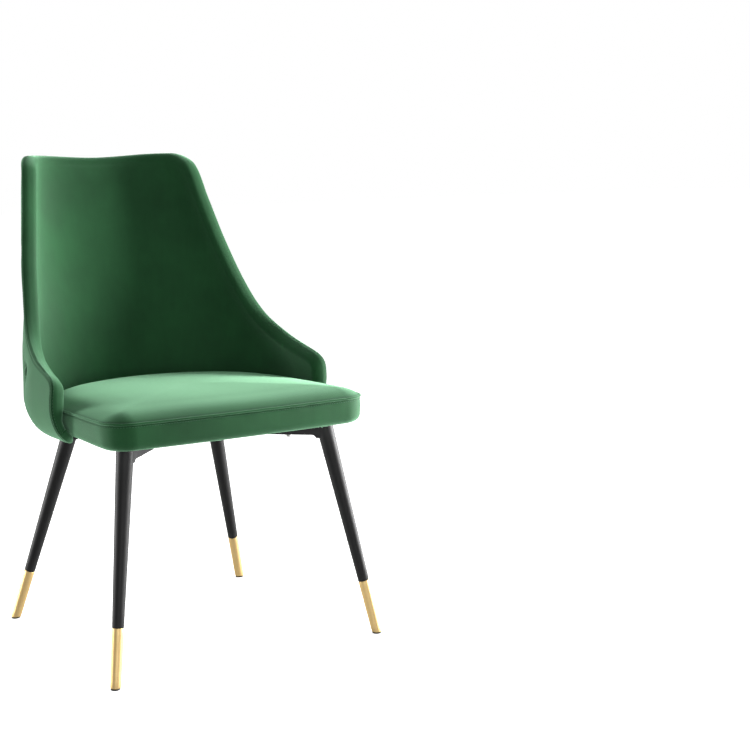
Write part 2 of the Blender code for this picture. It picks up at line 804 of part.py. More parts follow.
def make_legs(mats):
    for end in ("front", "rear"):
        for side, side_name in SIDES:
            tag = f"{end}_{side_name}"
            make_leg(end, side, tag, mats["steel"])
            make_ferrule(end, side, tag, mats["ferrule"])
            make_glide(end, side, tag, mats["glide"])


def spigot_radius(length):
    share = length / FERRULE_LENGTH
    outer = FERRULE_BOTTOM_RADIUS + (FERRULE_TOP_RADIUS - FERRULE_BOTTOM_RADIUS) * share
    return outer - FERRULE_WALL - GAP


def make_leg(end, side, tag, mat):
    """Tapered tube: visible above the ferrule, a thinner spigot inside it."""
    joint = FERRULE_LENGTH + GAP
    loops = [
        leg_loop(end, side, SPIGOT_LOW, spigot_radius(SPIGOT_LOW)),
        leg_loop(end, side, joint, spigot_radius(joint)),
        leg_loop(end, side, joint, LEG_JOINT_RADIUS),
        leg_top_loop(end, side, LEG_TOP_RADIUS),
        leg_top_loop(end, side, LEG_TOP_RADIUS - LEG_WALL),
        leg_loop(end, side, joint + SPIGOT_STEP, spigot_radius(joint) - LEG_WALL),
        leg_loop(end, side, SPIGOT_LOW, spigot_radius(SPIGOT_LOW) - LEG_WALL),
    ]
    ringed(f"leg_{tag}", loops, mat)


def make_ferrule(end, side, tag, mat):
    bottom = GLIDE_SHOW + GAP
    top = FERRULE_LENGTH
    loops = [
        leg_loop(end, side, bottom, FERRULE_BOTTOM_RADIUS, bottom),
        leg_loop(end, side, top, FERRULE_TOP_RADIUS),
        leg_loop(end, side, top, FERRULE_TOP_RADIUS - FERRULE_WALL),
        leg_loop(end, side, bottom, FERRULE_BOTTOM_RADIUS - FERRULE_WALL, bottom),
    ]
    ringed(f"ferrule_{tag}", loops, mat)


def make_glide(end, side, tag, mat):
    """Foot pad with a plug inside the end of the leg tube."""
    plug = spigot_radius(SPIGOT_LOW) - LEG_WALL - GAP
    rim = FERRULE_BOTTOM_RADIUS - GLIDE_EDGE
    loops = [
        leg_loop(end, side, 0.0, rim - GLIDE_ROUND, 0.0),
        leg_loop(end, side, GLIDE_ROUND, rim, GLIDE_ROUND),
        leg_loop(end, side, GLIDE_SHOW, rim, GLIDE_SHOW),
        leg_loop(end, side, GLIDE_SHOW, plug, GLIDE_SHOW),
        leg_loop(end, side, GLIDE_PLUG_TOP, plug),
    ]
    capped(f"glide_{tag}", loops, mat)


def bracket_line(end, side):
    """Start on the leg axis, level direction towards the middle, and underside height."""
    low = BRACKET_FRONT_Z if end == "front" else BRACKET_REAR_Z
    foot, slope = leg_axis(end, side)
    start = foot + slope * ((low + LEG_TOP_Z) / 2)
    start.z = 0.0
    inward = -1.0 if end == "rear" else 1.0
    return start, Vector((-side, inward, 0.0)).normalized(), low


def make_brackets(mats):
    for end in ("front", "rear"):
        for side, side_name in SIDES:
            make_bracket(end, side, f"bracket_{end}_{side_name}", mats["steel"])


def gusset_loops(start, direction, across, low):
    """The two ends of the stiffening rib where the bracket meets the leg."""
    half = LEG_TOP_RADIUS * 0.8
    far = LEG_TOP_RADIUS + GUSSET
    inside = low + BRACKET_WALL / 2
    profile = ((0.0, inside), (far, inside), (far, low),
               (LEG_TOP_RADIUS + GUSSET * 0.3, low - GUSSET * 0.35),
               (LEG_TOP_RADIUS * 0.9, low - GUSSET), (0.0, low - GUSSET))
    return [[start + direction * a + across * u + Vector((0, 0, z)) for a, z in profile]
            for u in (-half, half)]


def make_bracket(end, side, name, mat):
    """Open-topped channel with a gusset below it, shaped to the leg tube."""
    start, direction, low = bracket_line(end, side)
    across = direction.cross(Vector((0, 0, 1)))
    half = BRACKET_WIDTH / 2
    wall = BRACKET_WALL
    shape = ((-half, low), (half, low), (half, LEG_TOP_Z), (half - wall, LEG_TOP_Z),
             (half - wall, low + wall), (-half + wall, low + wall), (-half + wall, LEG_TOP_Z),
             (-half, LEG_TOP_Z))
    loops = []
    for along in (0.0, BRACKET_LENGTH):
        loops.append([start + direction * along + across * u + Vector((0, 0, z))
                      for u, z in shape])
    verts, faces = stack(loops, False)
    count = len(shape)
    faces += [tuple(range(count))[::-1], tuple(range(count, 2 * count))]
    bracket = body(name, verts, faces, mat)
    rib = capped(name + "_rib", gusset_loops(start, direction, across, low), mat)
    union = bracket.modifiers.new("rib", "BOOLEAN")
    union.operation = "UNION"
    union.solver = "EXACT"
    union.object = rib
    leg_hole = capped(name + "_leg", [
        leg_loop(end, side, CUT_LOW, tube_radius(CUT_LOW) + GAP),
        leg_loop(end, side, CUT_HIGH, tube_radius(CUT_HIGH) + GAP)], mat)
    bolt_hole = capped(name + "_bolt", drill(start + direction * BOLT_REACH,
                                             BOLT_RADIUS + HOLE_CLEARANCE, low - wall,
                                             low + 2 * wall), mat)
    cutters = [leg_hole, bolt_hole, capped(name + "_trim", slab(
        start, direction, across, (-CUT_REACH, BRACKET_START), (CUT_LOW, CUT_HIGH)), mat)]
    if end == "rear":
        cutters.append(capped(name + "_notch", slab(
            start, direction, across, (-CUT_REACH, BRACKET_NOTCH),
            (TURN_Z - TURN_DOWN - LEG_SEAT_GAP, CUT_HIGH)), mat))
    cut(bracket, cutters)
    bpy.data.objects.remove(rib, do_unlink=True)


def tube_radius(length):
    slope = (LEG_TOP_RADIUS - LEG_JOINT_RADIUS) / (LEG_LENGTH - FERRULE_LENGTH)
    return LEG_JOINT_RADIUS + slope * (length - FERRULE_LENGTH)


def slab(start, direction, across, along_range, heights):
    """Wide block between two distances along the bracket and two heights."""
    near, far = along_range
    loops = []
    for z in heights:
        loops.append([start + direction * a + across * u + Vector((0, 0, z))
                      for a, u in ((near, -CUT_REACH), (far, -CUT_REACH),
                                   (far, CUT_REACH), (near, CUT_REACH))])
    return loops


def make_fasteners(mats):
    for spot, tag in bolt_spots():
        low = BRACKET_FRONT_Z if tag.startswith("front") else BRACKET_REAR_Z
        washer_top = low - GAP
        washer_low = washer_top - WASHER_THICKNESS
        ringed(f"washer_{tag}",
               drill(spot, WASHER_RADIUS, washer_low, washer_top)
               + drill(spot, BOLT_RADIUS + HOLE_CLEARANCE, washer_top, washer_low), mats["zinc"])
        head_top = washer_low - GAP
        head_low = head_top - BOLT_HEAD_HEIGHT
        crown = drill(spot, BOLT_HEAD_RADIUS * 0.7, head_low, head_top)[:1]
        head = drill(spot, BOLT_HEAD_RADIUS, head_low + BOLT_HEAD_ROUND, head_top)
        shank = drill(spot, BOLT_RADIUS, head_top, BOLT_TOP_Z)
        capped(f"bolt_{tag}", crown + head + shank, mats["zinc"])
        insert_low = SEAT_BOTTOM_Z + COVER + GAP
        ringed(f"insert_nut_{tag}",
               drill(spot, INSERT_RADIUS, insert_low, INSERT_TOP_Z)
               + drill(spot, BOLT_RADIUS + HOLE_CLEARANCE, INSERT_TOP_Z, insert_low), mats["zinc"])


# ---------------------------------------------------------------- whole chair

def main():
    for thing in list(bpy.data.objects):
        bpy.data.objects.remove(thing, do_unlink=True)
    mats = make_materials()
    spots = button_spots()
    make_back_core(mats)
    make_back_inner_foam(mats)
    make_back_inner_cover(mats)
    pattern = dimpled_pattern(OUTER_LOW, (0.0, FIELD_LINE), spots)
    make_back_outer_foam(mats, pattern, spots)
    make_back_outer_cover(mats, pattern, spots)
    make_buttons(mats, spots)
    make_seat_deck(mats)
    make_seat_foam(mats)
    make_seat_band_cover(mats)
    make_seat_welt(mats)
    make_seat_top_cover(mats)
    make_seat_dust_cover(mats)
    make_legs(mats)
    make_brackets(mats)
    make_fasteners(mats)
    shift = Matrix.Translation((0.0, -CENTRE_Y, 0.0))
    for thing in bpy.data.objects:
        thing.data.transform(shift)


main()
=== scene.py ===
"""Looks of the dining chair: velvet pads, tufting, seams, stitching, legs and studio."""
import math
import random

import bmesh
import bpy
import numpy as np
from mathutils import Matrix, Vector
from mathutils.geometry import delaunay_2d_cdt
from mathutils.kdtree import KDTree


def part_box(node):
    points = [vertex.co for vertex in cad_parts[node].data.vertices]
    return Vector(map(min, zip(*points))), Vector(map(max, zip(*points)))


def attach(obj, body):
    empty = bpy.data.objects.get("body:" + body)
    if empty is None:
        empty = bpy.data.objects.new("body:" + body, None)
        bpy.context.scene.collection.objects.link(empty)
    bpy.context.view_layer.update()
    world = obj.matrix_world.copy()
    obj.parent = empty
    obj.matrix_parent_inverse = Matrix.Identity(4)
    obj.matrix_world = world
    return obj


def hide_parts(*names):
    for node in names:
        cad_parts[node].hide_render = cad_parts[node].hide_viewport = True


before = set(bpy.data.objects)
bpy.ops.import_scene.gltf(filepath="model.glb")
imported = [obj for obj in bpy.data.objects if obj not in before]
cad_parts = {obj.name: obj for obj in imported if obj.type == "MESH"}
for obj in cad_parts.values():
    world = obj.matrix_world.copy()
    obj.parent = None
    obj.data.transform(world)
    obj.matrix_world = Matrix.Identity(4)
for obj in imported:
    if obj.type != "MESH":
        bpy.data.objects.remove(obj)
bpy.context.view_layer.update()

TINY = 1e-9
SIDES = ((1, "left"), (-1, "right"))
ENDS = ("front", "rear")

# Surface of the back, as in the CAD part.
SECTION_Z = (0.38, 0.47, 0.58, 0.708, 0.822, 0.90)
HALF_WIDTH = (0.286, 0.284, 0.253, 0.227, 0.202, 0.190)
CURVE_START_Y = (0.0, 0.005, 0.080, 0.112, 0.161, 0.198)
REAR_Y = (0.244, 0.268, 0.292, 0.325, 0.353, 0.372)
FULLNESS = (2.3, 2.15, 2.32, 2.85, 3.1, 2.7)
RIM_Z = (0.357, 0.367, 0.385, 0.410, 0.450, 0.492, 0.502, 0.510, 0.520, 0.537, 0.578, 0.637,
         0.722, 0.807, 0.880, 0.897)
RIM_Y = (-0.030, -0.048, -0.060, -0.066, -0.070, -0.072, -0.065, -0.046, -0.012, 0.038, 0.111,
         0.159, 0.204, 0.237, 0.271, 0.300)
TOP_Z = 0.897
TOP_MIDDLE_DIP = 0.009
TOP_PEAK_X = 0.162
TOP_CORNER_DROP = 28.0
TOP_BLEND_Z = 0.80
TURN_Z = 0.46
TURN_IN = 0.055
TURN_DOWN = 0.075
TURN_ARC = 0.103
OUTER_LOW = 0.357
INNER_LOW = 0.407
COVER = 0.002
GAP = 0.0003
RIM_THICKNESS = 0.030
REAR_EXTRA = 0.010
EXTRA_FADE = 0.06
FOAM_END_RIM = 0.0103
FOAM_END_REAR = 0.0163
FOAM_END_UNDER = 0.0053
CORE = 0.008

# Buttons and pleats.
BUTTON_PLACES = ((0.085, 0.822), (0.0, 0.698), (0.164, 0.708), (0.083, 0.580), (0.225, 0.604),
                 (0.0, 0.459), (0.169, 0.470), (0.2696, 0.505))
BUTTON_RADIUS = 0.0104
BUTTON_HEIGHT = 0.0060
BUTTON_SEGMENTS = 40
BUTTON_PROFILE = ((0.25, 0.975), (0.48, 0.90), (0.68, 0.77), (0.84, 0.60), (0.95, 0.40),
                  (1.0, 0.20), (0.98, 0.06), (0.86, 0.0))
DIMPLE_FLOOR = 0.0124
DIMPLE_STEEP = 0.0042
DIMPLE_WIDE = 0.0215
DIMPLE_LIMIT = 0.03
DIMPLE_RINGS = (0.0, 0.007, 0.0122, 0.0134, 0.0150, 0.0172, 0.0205, 0.025, 0.031)
PLEAT_STEP = 0.0032
PLEAT_ROWS = (0.0, 0.0007, 0.0016, 0.0032, 0.006, 0.0105)
FIELD_STEP = 0.0062
SINK_MOST = 0.0122
FOLD_DEPTH = 0.0022
FOLD_WIDTH = 0.0010
ROLL_DEPTH = 0.0005
ROLL_WIDTH = 0.010
PINCH_DEPTH = 0.0030
PINCH_WIDTH = 0.009
PINCH_REACH = 0.035
LAP_DEPTH = 0.0003
LAP_WIDTH = 0.0006
LAP_REACH = 0.0045
PLEAT_LOW = OUTER_LOW + 0.003
PLEAT_STOP = 0.0135
BORDER_CLEARANCE = 0.0015
CROWD_SHARE = 0.40
CROWD_LEAST = 0.00045
EDGE_FREE = 0.003
EDGE_FADE = 0.014

# Seat outline, as in the CAD part.
SEAT_HALF_WIDTH = 0.2545
SEAT_FRONT_Y = -0.2625
SEAT_BOW = 0.006
SEAT_CORNER = 0.050
SEAT_CORNER_LEAST = 0.012
SEAT_REAR_HALF_WIDTH = 0.247
SEAT_REAR_START_Y = -0.04
SEAT_REAR_Y = 0.219
SEAT_REAR_FULLNESS = 2.2
SEAT_FLARE_SIDE = 0.003
SEAT_FLARE_REAR = 0.004
SEAT_BOTTOM_Z = 0.400
SEAT_SEAM_Z = 0.447
SEAT_BOTTOM_ROUND = 0.015
CROWN = 0.0205
CROWN_REACH = 0.025
CROWN_RINGS = (0.0, 0.0018, 0.004, 0.007, 0.011, 0.016, 0.022, 0.030, 0.040, 0.052, 0.066)
CROWN_SMOOTH = 20
CLOTH_FRAMES = 20
CLOTH_HELD = 0.0045
CLOTH_CAP = 0.006
CLOTH_SMOOTH = 140
CLOTH_SETTINGS = {
    "quality": 6, "mass": 0.4, "tension_stiffness": 12.0, "compression_stiffness": 6.0,
    "shear_stiffness": 6.0, "bending_stiffness": 0.6, "use_pressure": True,
    "uniform_pressure_force": 4.0, "vertex_group_mass": "held"}
WELT_RADIUS = 0.0022
FLANGE_INSET = 0.056
DECK_INSET = 0.017
DECK_THICKNESS = 0.014
DUST_INSET = 0.050
DUST_THICKNESS = 0.0011
STAPLES = 44
STAPLE_INSET = 0.006
STAPLE_HALF_LENGTH = 0.0050
STAPLE_HALF_WIDTH = 0.00055
STAPLE_HALF_HEIGHT = 0.0003

# Legs and brackets, as in the CAD part.
FOOT = {"front": (0.2637, -0.2535), "rear": (0.2495, 0.2535)}
LEAN = {"front": (-0.1637, 0.1635), "rear": (-0.259, -0.2367)}
LEG_TOP_Z = 0.3978
LEG_SEAT_GAP = 0.0012
FERRULE_LENGTH = 0.102
FERRULE_TOP_RADIUS = 0.0100
FERRULE_BOTTOM_RADIUS = 0.0088
FERRULE_WALL = 0.0011
LEG_JOINT_RADIUS = 0.0101
LEG_TOP_RADIUS = 0.0155
GLIDE_SHOW = 0.003
GLIDE_PLUG_TOP = 0.022
LEG_LENGTH = 0.41
LEG_WALL = 0.0015
SPIGOT_LOW = 0.012
SPIGOT_STEP = 0.004
TUBE_RINGS_TOP = 0.385
SHARP_ANGLE = 35.0
LEG_SEGMENTS = 48

# The CAD part was centred after it was made in the chair's own frame; the deck shows by how much.
CENTRE_Y = SEAT_FRONT_Y + DECK_INSET - SEAT_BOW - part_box("seat_deck")[0].y


# ---------------------------------------------------------------- small helpers

def smooth(value):
    """Eased step from 0 to 1."""
    t = np.clip(value, 0.0, 1.0)
    return t * t * (3.0 - 2.0 * t)


def monotone(xs, ys):
    """Smooth curve through the points that never overshoots them, for whole arrays."""
    xs = np.array(xs)
    ys = np.array(ys)
    h = np.diff(xs)
    slope = np.diff(ys) / h
    tangent = np.zeros(len(xs))
    tangent[0] = slope[0]
    tangent[-1] = slope[-1]
    for k in range(1, len(xs) - 1):
        if slope[k - 1] * slope[k] > 0.0:
            w1 = 2.0 * h[k] + h[k - 1]
            w2 = h[k] + 2.0 * h[k - 1]
            tangent[k] = (w1 + w2) / (w1 / slope[k - 1] + w2 / slope[k])

    def curve(x):
        x = np.clip(x, xs[0], xs[-1])
        k = np.clip(np.searchsorted(xs, x, side="right") - 1, 0, len(h) - 1)
        t = (x - xs[k]) / h[k]
        low = (1 + 2 * t) * (1 - t) ** 2 * ys[k] + t * (1 - t) ** 2 * h[k] * tangent[k]
        high = t * t * (3 - 2 * t) * ys[k + 1] + t * t * (t - 1) * h[k] * tangent[k + 1]
        return low + high

    return curve


half_width = monotone(SECTION_Z, HALF_WIDTH)
curve_start = monotone(SECTION_Z, CURVE_START_Y)
rear_centre = monotone(SECTION_Z, REAR_Y)
fullness = monotone(SECTION_Z, FULLNESS)
rim_y = monotone(RIM_Z, RIM_Y)


def unit(rows):
    """Rows scaled to length 1."""
    return rows / np.maximum(np.linalg.norm(rows, axis=1), TINY)[:, None]


def run_along(path):
    """Distance run along a path of points, at each of them."""
    return np.append(0.0, np.cumsum(np.hypot.reduce(np.diff(path, axis=0).T)))


def at_run(run, path, wanted):
    """Places on a path at the wanted distances along it."""
    return np.stack([np.interp(wanted, run, path[:, k]) for k in range(path.shape[1])], axis=-1)


def relax(path, weight, rounds):
    """Ease each inner point towards the middle of its neighbours, in place."""
    for _ in range(rounds):
        middle = (path[:-2] + path[2:]) / 2
        path[1:-1] += (middle - path[1:-1]) * weight[1:-1] * 0.5


def blurred(rows, width):
    """Rows averaged with their neighbours over an odd width."""
    kernel = np.hanning(width) / np.hanning(width).sum()
    columns = [np.convolve(np.pad(column, width // 2, mode="edge"), kernel, mode="valid")
               for column in rows.T]
    return np.stack(columns, axis=1)


def noise_field(seed, cell, count=10):
    """Smooth random height field in space, about -1 to 1, made of seeded waves."""
    rng = np.random.default_rng(seed)
    waves = rng.normal(size=(count, 3)) / cell
    phases = rng.uniform(0.0, 2 * math.pi, count)

    def field(points):
        return np.sin(np.asarray(points) @ waves.T + phases).mean(axis=1) * 2.0

    return field


def add_object(name, verts, faces, mat, shade_smooth=True, merge=0.00002):
    """Mesh object in the row frame from points in the chair's own frame."""
    points = np.array(verts, dtype=float)
    points[:, 1] -= CENTRE_Y
    mesh = bpy.data.meshes.new(name)
    mesh.from_pydata(points.tolist(), [], [tuple(int(k) for k in f) for f in faces])
    work = bmesh.new()
    work.from_mesh(mesh)
    if merge:
        bmesh.ops.remove_doubles(work, verts=work.verts, dist=merge)
    bmesh.ops.recalc_face_normals(work, faces=work.faces)
    if work.calc_volume(signed=True) < 0.0:
        bmesh.ops.reverse_faces(work, faces=work.faces)
    for face in work.faces:
        face.smooth = shade_smooth
    work.to_mesh(mesh)
    work.free()
    mesh.materials.append(mat)
    thing = bpy.data.objects.new(name, mesh)
    bpy.context.scene.collection.objects.link(thing)
    return thing


def set_crush_and_shade(thing, values):
    """Store how far the nap is pressed down, with painted shade in seams, pleats and dimples, at
    each vertex, from 0 to 1.
    """
    layer = thing.data.attributes.new("crush_and_shade", "FLOAT", "POINT")
    layer.data.foreach_set("value", np.clip(np.asarray(values, dtype=np.float32), 0.0, 1.0))


def read_places(mesh):
    """Vertex places as rows of x, y and z."""
    places = np.empty(len(mesh.vertices) * 3)
    mesh.vertices.foreach_get("co", places)
    return places.reshape(-1, 3)


def write_places(mesh, places):
    """Put the vertices at the given places."""
    mesh.vertices.foreach_set("co", places.ravel())
    mesh.update()


def finish_piece(thing, slot, *nodes):
    """Hang the piece on the chair and hide the CAD nodes that it stands for; slot is not used."""
    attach(thing, "root")
    if nodes:
        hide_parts(*nodes)
    return thing


def bridge(first, second):
    """Quads between two closed rings of equal length."""
    count = len(first)
    return [(first[k], first[(k + 1) % count], second[(k + 1) % count], second[k])
            for k in range(count)]


def loft(loops, closed=False, capped=False):
    """Points and faces of equal closed loops; closed joins last to first, capped fills the ends."""
    count = len(loops[0])
    verts = [tuple(p) for loop in loops for p in loop]
    ids = [list(range(k * count, (k + 1) * count)) for k in range(len(loops))]
    faces = []
    for k in range(len(loops) - 1):
        faces += bridge(ids[k], ids[k + 1])
    if closed:
        faces += bridge(ids[-1], ids[0])
    if capped:
        for ring in (ids[0], ids[-1]):
            centre = len(verts)
            verts.append(tuple(np.mean([verts[k] for k in ring], axis=0)))
            faces += [(ring[k], ring[(k + 1) % count], centre) for k in range(count)]
    return verts, faces


def merge_parts(parts):
    """One list of points and faces from several."""
    verts = []
    faces = []
    for part_verts, part_faces in parts:
        offset = len(verts)
        verts += [tuple(p) for p in part_verts]
        faces += [tuple(k + offset for k in face) for face in part_faces]
    return verts, faces


# ---------------------------------------------------------------- materials

WHITE = (1.0, 1.0, 1.0)
# Near-black green for pressed nap and for painted shade in seams, pleats and dimples.
PRESSED_AND_SHADED_GREEN = (0.0022, 0.012, 0.004)
VELVET_DARK = (0.0130, 0.067, 0.0225)
VELVET_LIGHT = (0.0220, 0.108, 0.0365)
SHEEN_TINT = (0.46, 0.90, 0.57)


def grey(value):
    """Neutral colour of one value."""
    return (value, value, value)


class Shade:
    """One procedural material: short calls that add nodes and set or link their sockets."""

    def __init__(self, name):
        self.mat = bpy.data.materials.new(name)
        self.mat.use_nodes = True
        self.nodes = self.mat.node_tree.nodes
        self.shader = self.nodes["Principled BSDF"]

    def feed(self, socket, value):
        """Link a socket into another, or set it to a number or colour."""
        if isinstance(value, bpy.types.NodeSocket):
            self.mat.node_tree.links.new(value, socket)
        elif socket.type == "RGBA":
            socket.default_value = (*value, 1.0)
        else:
            socket.default_value = value

    def put(self, key, value):
        """Feed one input of the surface shader."""
        self.feed(self.shader.inputs[key], value)

    def node(self, kind, output, inputs, **settings):
        """Add a node with its settings and inputs, and give back one output."""
        node = self.nodes.new(kind)
        for key, value in settings.items():
            setattr(node, key, value)
        for key, value in inputs.items():
            self.feed(node.inputs[key], value)
        return node.outputs[output]

    def coords(self, scale=(1.0, 1.0, 1.0)):
        """Object coordinates, scaled along each axis."""
        place = self.node("ShaderNodeTexCoord", "Object", {})
        return self.node("ShaderNodeMapping", "Vector", {"Vector": place, "Scale": scale})

    def noise(self, vector, scale, detail=2.0, rough=0.5):
        return self.node("ShaderNodeTexNoise", "Fac", {
            "Vector": vector, "Scale": scale, "Detail": detail, "Roughness": rough})

    def wave(self, vector, scale, distortion, **settings):
        return self.node("ShaderNodeTexWave", "Fac", {
            "Vector": vector, "Scale": scale, "Distortion": distortion}, **settings)

    def ramp(self, factor, low, first, high, second):
        """Colour that runs from the first at the low value to the second at the high one."""
        node = self.nodes.new("ShaderNodeValToRGB")
        stops = zip(node.color_ramp.elements, (low, high), (first, second))
        for element, place, colour in stops:
            element.position = place
            element.color = (*colour, 1.0)
        self.feed(node.inputs["Fac"], factor)
        return node.outputs["Color"]

    def mix(self, kind, factor, first, second):
        return self.node("ShaderNodeMix", 2, {0: factor, 6: first, 7: second},
                         data_type="RGBA", blend_type=kind)

    def math(self, operation, first, second):
        return self.node("ShaderNodeMath", 0, {0: first, 1: second}, operation=operation)

    def ranged(self, value, low, high):
        """A 0 to 1 value stretched to run from low to high."""
        return self.node("ShaderNodeMapRange", "Result", {
            "Value": value, "To Min": low, "To Max": high})

    def bump(self, height, strength, distance, below=None):
        """Bump the surface by a height, on top of the bump below when there is one."""
        inputs = {"Strength": strength, "Distance": distance, "Height": height}
        if below is not None:
            inputs["Normal"] = below
        normal = self.node("ShaderNodeBump", "Normal", inputs)
        self.put("Normal", normal)
        return normal


def velvet_material():
    """Cut-pile velvet: brushed nap patches, fine pile grain, faint ribs and a strong sheen, with
    painted shade that darkens the colour in seams, pleats and dimples.
    """
    shade = Shade("velvet_pile_green")
    vector = shade.coords()
    brushed = shade.noise(vector, 7.0, 3.0, 0.55)
    base = shade.ramp(brushed, 0.30, VELVET_DARK, 0.72, VELVET_LIGHT)
    grain = shade.noise(vector, 1400.0)
    speckle = shade.ramp(grain, 0.25, (0.72, 0.74, 0.72), 0.75, WHITE)
    colour = shade.mix("MULTIPLY", 0.7, base, speckle)
    streaks = shade.noise(shade.coords((90.0, 90.0, 9.0)), 1.0)
    colour = shade.mix("MULTIPLY", 1.0, colour, shade.ramp(streaks, 0.3, grey(0.93), 0.7, WHITE))
    # Painted shade: the colour goes towards near-black green by the per-vertex value, in seams,
    # pleats, dimples and under the piping, partly for pressed nap.
    pressed_and_shade = shade.node("ShaderNodeAttribute", "Fac", {}, attribute_name="crush_and_shade")
    shade.put("Base Color", shade.mix("MIX", shade.math("MULTIPLY", pressed_and_shade, 0.85), colour,
                                      PRESSED_AND_SHADED_GREEN))
    shade.put("Roughness", shade.ranged(brushed, 0.62, 0.82))
    shade.put("Specular IOR Level", 0.12)
    shade.put("Sheen Weight", 0.80)
    shade.put("Sheen Roughness", 0.46)
    shade.put("Sheen Tint", SHEEN_TINT)
    ribs = shade.math("MULTIPLY", shade.wave(vector, 380.0, 1.5), 0.08)
    low = shade.bump(brushed, 0.25, 0.0012)
    shade.bump(shade.math("ADD", grain, ribs), 0.30, 0.00035, low)
    return shade.mat


def thread_material():
    """Twisted sewing thread, a little lighter than the velvet."""
    shade = Shade("stitch_thread")
    twist = shade.noise(shade.coords(), 2600.0, 1.0)
    shade.put("Base Color", shade.ramp(twist, 0.3, (0.018, 0.085, 0.036), 0.7, (0.05, 0.17, 0.085)))
    shade.put("Roughness", 0.55)
    shade.bump(twist, 0.5, 0.0002)
    return shade.mat


def steel_material():
    """Satin black powder coat with fine orange peel and slightly worn edges."""
    shade = Shade("steel_black_coat")
    vector = shade.coords()
    cloud = shade.noise(vector, 35.0, 3.0)
    base = shade.ramp(cloud, 0.3, (0.0050, 0.0050, 0.0053), 0.75, (0.0085, 0.0085, 0.009))
    pointed = shade.node("ShaderNodeNewGeometry", "Pointiness", {})
    worn = shade.math("MULTIPLY", shade.ramp(pointed, 0.52, grey(0.0), 0.60, WHITE), 0.25)
    shade.put("Base Color", shade.mix("MIX", worn, base, (0.10, 0.10, 0.105)))
    shade.put("Roughness", shade.ranged(cloud, 0.50, 0.62))
    shade.put("Specular IOR Level", 0.35)
    shade.bump(shade.noise(vector, 900.0), 0.22, 0.00025)
    return shade.mat


def brass_material():
    """Brushed gold-coloured metal: fine turning marks round the leg and faint smudges."""
    shade = Shade("ferrule_brushed_brass")
    marks = shade.noise(shade.coords((40.0, 40.0, 2600.0)), 1.0)
    smudge = shade.noise(shade.coords(), 60.0, 3.0)
    shade.put("Base Color", shade.ramp(marks, 0.25, (0.83, 0.59, 0.26), 0.75, (0.88, 0.67, 0.33)))
    shade.put("Metallic", 1.0)
    shade.put("Specular Tint", (0.50, 0.33, 0.13))
    shade.put("Roughness", shade.ranged(smudge, 0.46, 0.60))
    shade.bump(marks, 0.12, 0.0001)
    return shade.mat


def zinc_material():
    """Bright zinc plate with a fine spangle."""
    shade = Shade("zinc_plated")
    spangle = shade.noise(shade.coords(), 420.0, 3.0)
    shade.put("Base Color", shade.ramp(spangle, 0.3, (0.46, 0.46, 0.45), 0.7, (0.66, 0.66, 0.63)))
    shade.put("Metallic", 1.0)
    shade.put("Roughness", shade.ranged(spangle, 0.28, 0.46))
    shade.bump(spangle, 0.1, 0.0001)
    return shade.mat


def plastic_material():
    """Moulded black plastic with long scuffs."""
    shade = Shade("glide_plastic")
    scuff = shade.noise(shade.coords((300.0, 40.0, 40.0)), 1.0)
    shade.put("Base Color", shade.ramp(scuff, 0.35, grey(0.012), 0.75, (0.035, 0.035, 0.034)))
    shade.put("Roughness", shade.ranged(scuff, 0.42, 0.62))
    shade.bump(shade.noise(shade.coords(), 1200.0), 0.2, 0.0002)
    return shade.mat


def dust_material():
    """Black spun-bonded underside cloth: matted fibres with a small bonded dot pattern."""
    shade = Shade("dust_cloth")
    vector = shade.coords()
    fibre = shade.noise(vector, 700.0, 4.0, 0.7)
    dots = shade.node("ShaderNodeTexVoronoi", "Distance", {"Vector": vector, "Scale": 650.0})
    shade.put("Base Color", shade.ramp(fibre, 0.3, grey(0.010), 0.75, (0.032, 0.032, 0.033)))
    shade.put("Roughness", 0.95)
    shade.put("Sheen Weight", 0.25)
    shade.bump(shade.math("ADD", fibre, dots), 0.5, 0.0004)
    return shade.mat


def plywood_material():
    """Birch plywood: long grain along X and thin plies seen on the edges."""
    shade = Shade("birch_plywood")
    grain = shade.noise(shade.coords((6.0, 90.0, 90.0)), 1.0, 5.0)
    face = shade.ramp(grain, 0.28, (0.42, 0.27, 0.14), 0.72, (0.66, 0.48, 0.29))
    wave = shade.wave(shade.coords(), 110.0, 0.6, bands_direction="Z")
    plies = shade.ramp(wave, 0.35, (0.72, 0.66, 0.6), 0.6, WHITE)
    shade.put("Base Color", shade.mix("MULTIPLY", 0.5, face, plies))
    shade.put("Roughness", 0.62)
    shade.bump(grain, 0.25, 0.0004)
    return shade.mat


VELVET = velvet_material()
THREAD = thread_material()
STEEL = steel_material()
BRASS = brass_material()
ZINC = zinc_material()
PLASTIC = plastic_material()
DUST = dust_material()
PLYWOOD = plywood_material()


# ---------------------------------------------------------------- surface of the back

SECTION_STEPS = 129
ARM_RUN = 0.2
BATCH = 6000
SLOPE_STEP = 0.0005


def sections(z):
    """For an array of heights: arc distances from the rear centre with x and y."""
    angle = np.linspace(0.0, math.pi / 2, SECTION_STEPS)[None, :]
    a = half_width(z)[:, None]
    start = curve_start(z)[:, None]
    depth = rear_centre(z)[:, None] - start
    power = 2.0 / fullness(z)[:, None]
    x = a * np.sin(angle) ** power
    y = start + depth * np.maximum(np.cos(angle), 0.0) ** power
    x = np.hstack([x, a])
    y = np.hstack([y, start - ARM_RUN])
    s = np.cumsum(np.hypot(np.diff(x, axis=1), np.diff(y, axis=1)), axis=1)
    return np.hstack([np.zeros((len(z), 1)), s]), x, y


